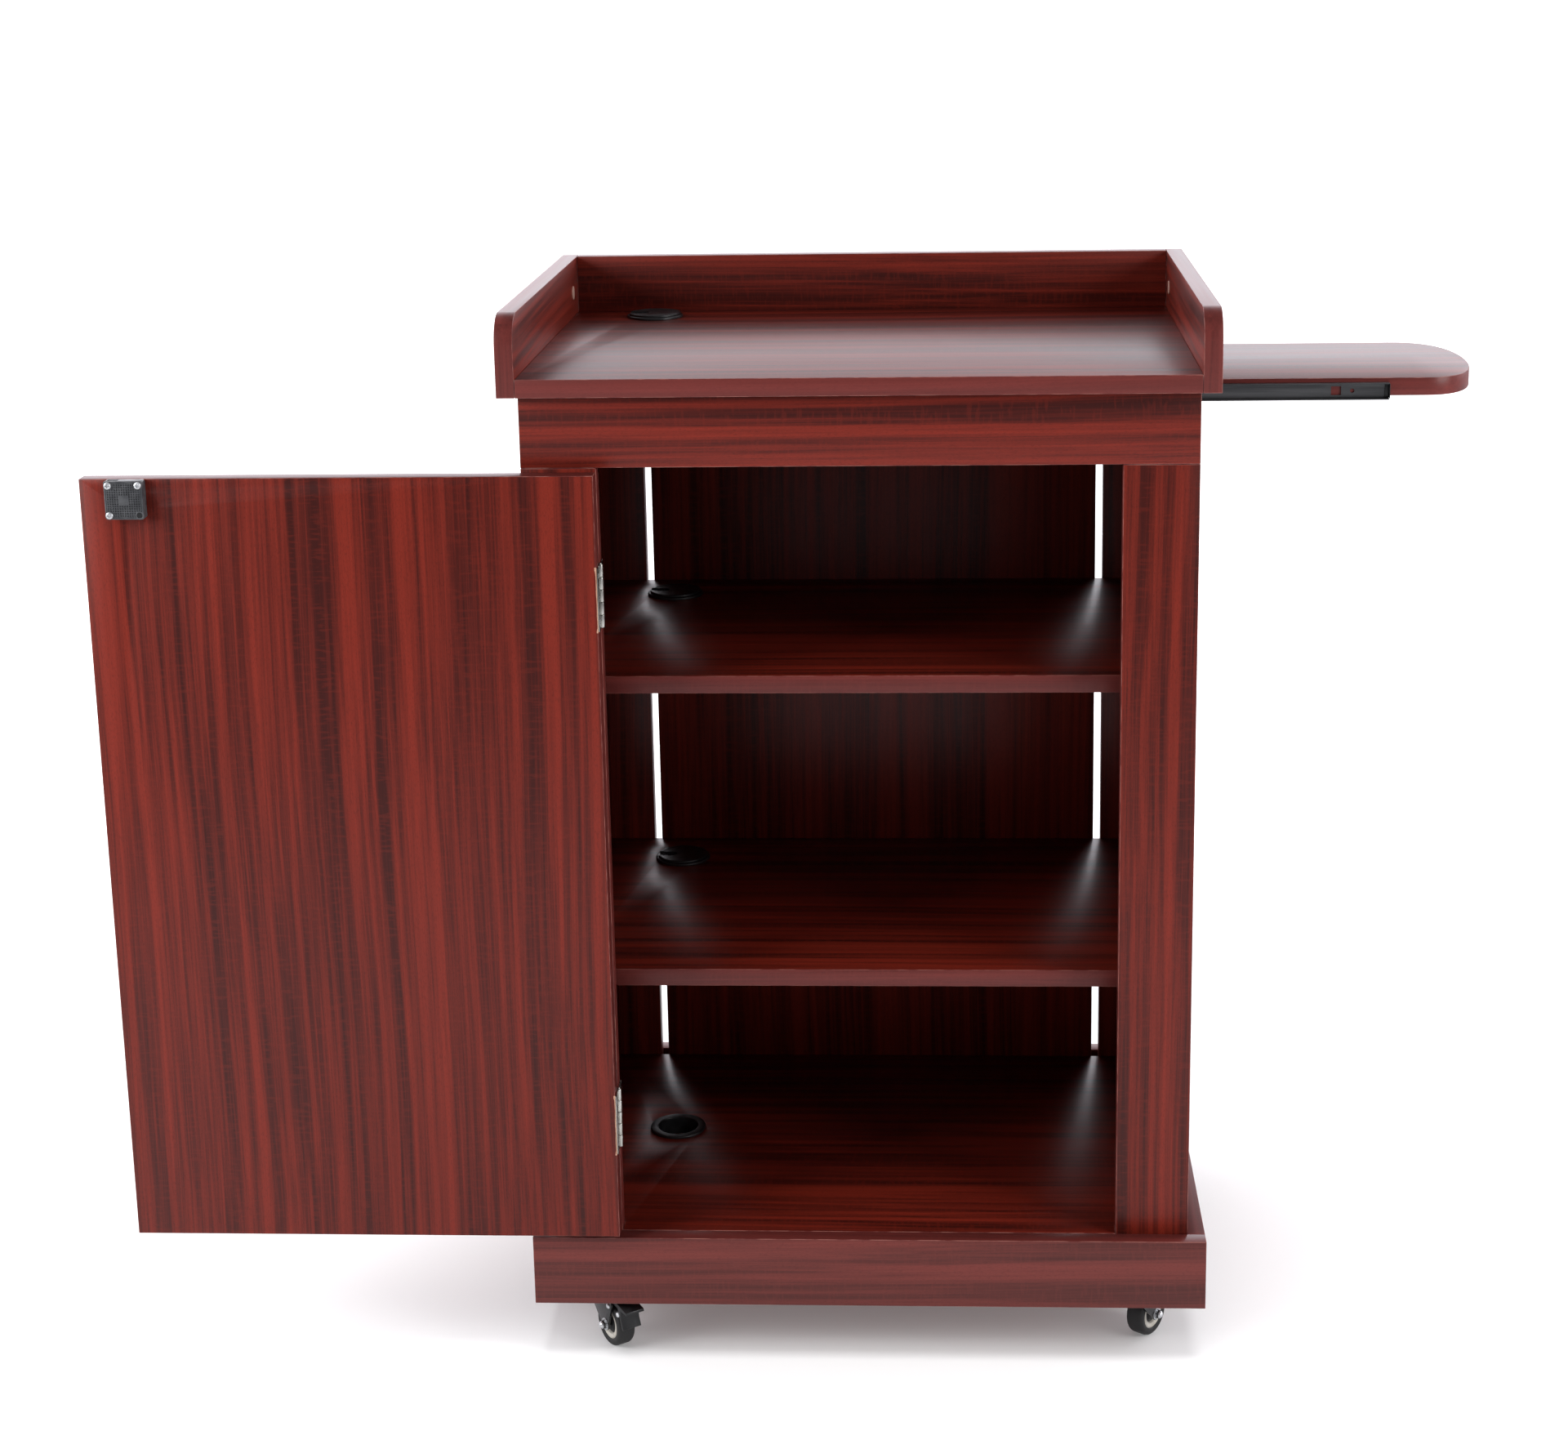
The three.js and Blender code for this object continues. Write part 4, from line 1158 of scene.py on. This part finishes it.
spot = node(tree, "TexCoord").outputs["Object"]
distance = node(tree, "VectorMath", {0: spot}, operation="LENGTH").outputs["Value"]
GLOW_FROM, GLOW_FULL, GLOW_ALWAYS = 0.8, 2.6, 0.12
far_glow = calc(tree, "MULTIPLY", ramp(tree, distance, GLOW_FROM, GLOW_FULL), seen_directly)
tree.links.new(calc(tree, "ADD", far_glow, GLOW_ALWAYS), floor_shader.inputs["Emission Strength"])
seen_below = node(tree, "NewGeometry").outputs["Backfacing"]
clear = node(tree, "BsdfTransparent").outputs[0]
either = node(tree, "MixShader", {0: seen_below, 1: floor_shader.outputs[0], 2: clear}).outputs[0]
tree.links.new(either, tree.nodes["Material Output"].inputs["Surface"])
floor_mesh.materials.append(floor_paint)
print("floor radius", FLOOR_RADIUS, "m")

# %% [markdown]
# ## Surround
# The room is dim with a bright screen behind the lectern, which gives the tops their pale grey
# sheen at a low angle. The screen is two soft steps in the direction of the light: one from front
# to back and one that fades it overhead. Looked at directly, the surround is plain white.

# %% Dim room with a bright screen behind
SCREEN_POWER, ROOM_POWER, WHITE_POWER = 2.2, 0.19, 1.08
world = bpy.data.worlds.new("studio")
bpy.context.scene.world = world
world.use_nodes = True
tree = world.node_tree
toward = node(tree, "SeparateXYZ", {0: node(tree, "TexCoord").outputs["Generated"]})
behind = ramp(tree, toward.outputs["Y"], -0.1, 0.5)
low_down = ramp(tree, toward.outputs["Z"], 0.95, 0.35)
screen = calc(tree, "MULTIPLY", calc(tree, "MULTIPLY", behind, low_down), SCREEN_POWER)
backdrop = tree.nodes["Background"]
backdrop.inputs["Color"].default_value = (0.96, 0.94, 1.0, 1)
seen_directly = node(tree, "LightPath").outputs["Is Camera Ray"]
room = calc(tree, "ADD", screen, ROOM_POWER)
plain = node(tree, "Mix", {0: seen_directly, 2: room, 3: WHITE_POWER}).outputs[0]
tree.links.new(plain, backdrop.inputs["Strength"])
print("surround ready, screen", SCREEN_POWER, "room", ROOM_POWER)

# %% [markdown]
# ## Soft boxes
# Two large soft boxes stand low and well out to the sides, so that they rake across the front and
# leave the inside of the cabinet dark. A third hangs overhead to draw the soft shadow under the
# plinth. It would wash out the desktop, so light linking flags it off the lectern: it lights only
# the collection that holds the floor.

# %% Soft boxes
def soft_box(name, place, target, size, power):
    light = bpy.data.lights.new(name, "AREA")
    light.shape, light.size, light.energy = "SQUARE", size, power
    box = bpy.data.objects.new(name, light)
    aim = (Vector(target) - Vector(place)).to_track_quat("-Z", "Y").to_matrix().to_4x4()
    box.matrix_world = Matrix.Translation(Vector(place)) @ aim
    bpy.context.scene.collection.objects.link(box)
    return box


soft_box("left_soft_box", (-2.5, -1.4, 1.7), (-0.2, -0.2, 1.15), 1.5, 57)
soft_box("right_soft_box", (2.6, -1.5, 1.7), (0.2, -0.2, 1.15), 1.5, 49)
overhead = soft_box("overhead_soft_box", (0.2, -0.2, 2.8), (0.2, -0.2, 0), 1.8, 74)
lit_by_overhead = bpy.data.collections.new("lit_by_overhead")
lit_by_overhead.objects.link(floor)
overhead.light_linking.receiver_collection = lit_by_overhead

# %% [markdown]
# ## Finished size
# Every new piece rides on a body, and the last line prints the box that the finished model fills.

# %% Print the finished size
low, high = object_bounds()
print("finished box", [round(v, 4) for v in (*low, *high)])
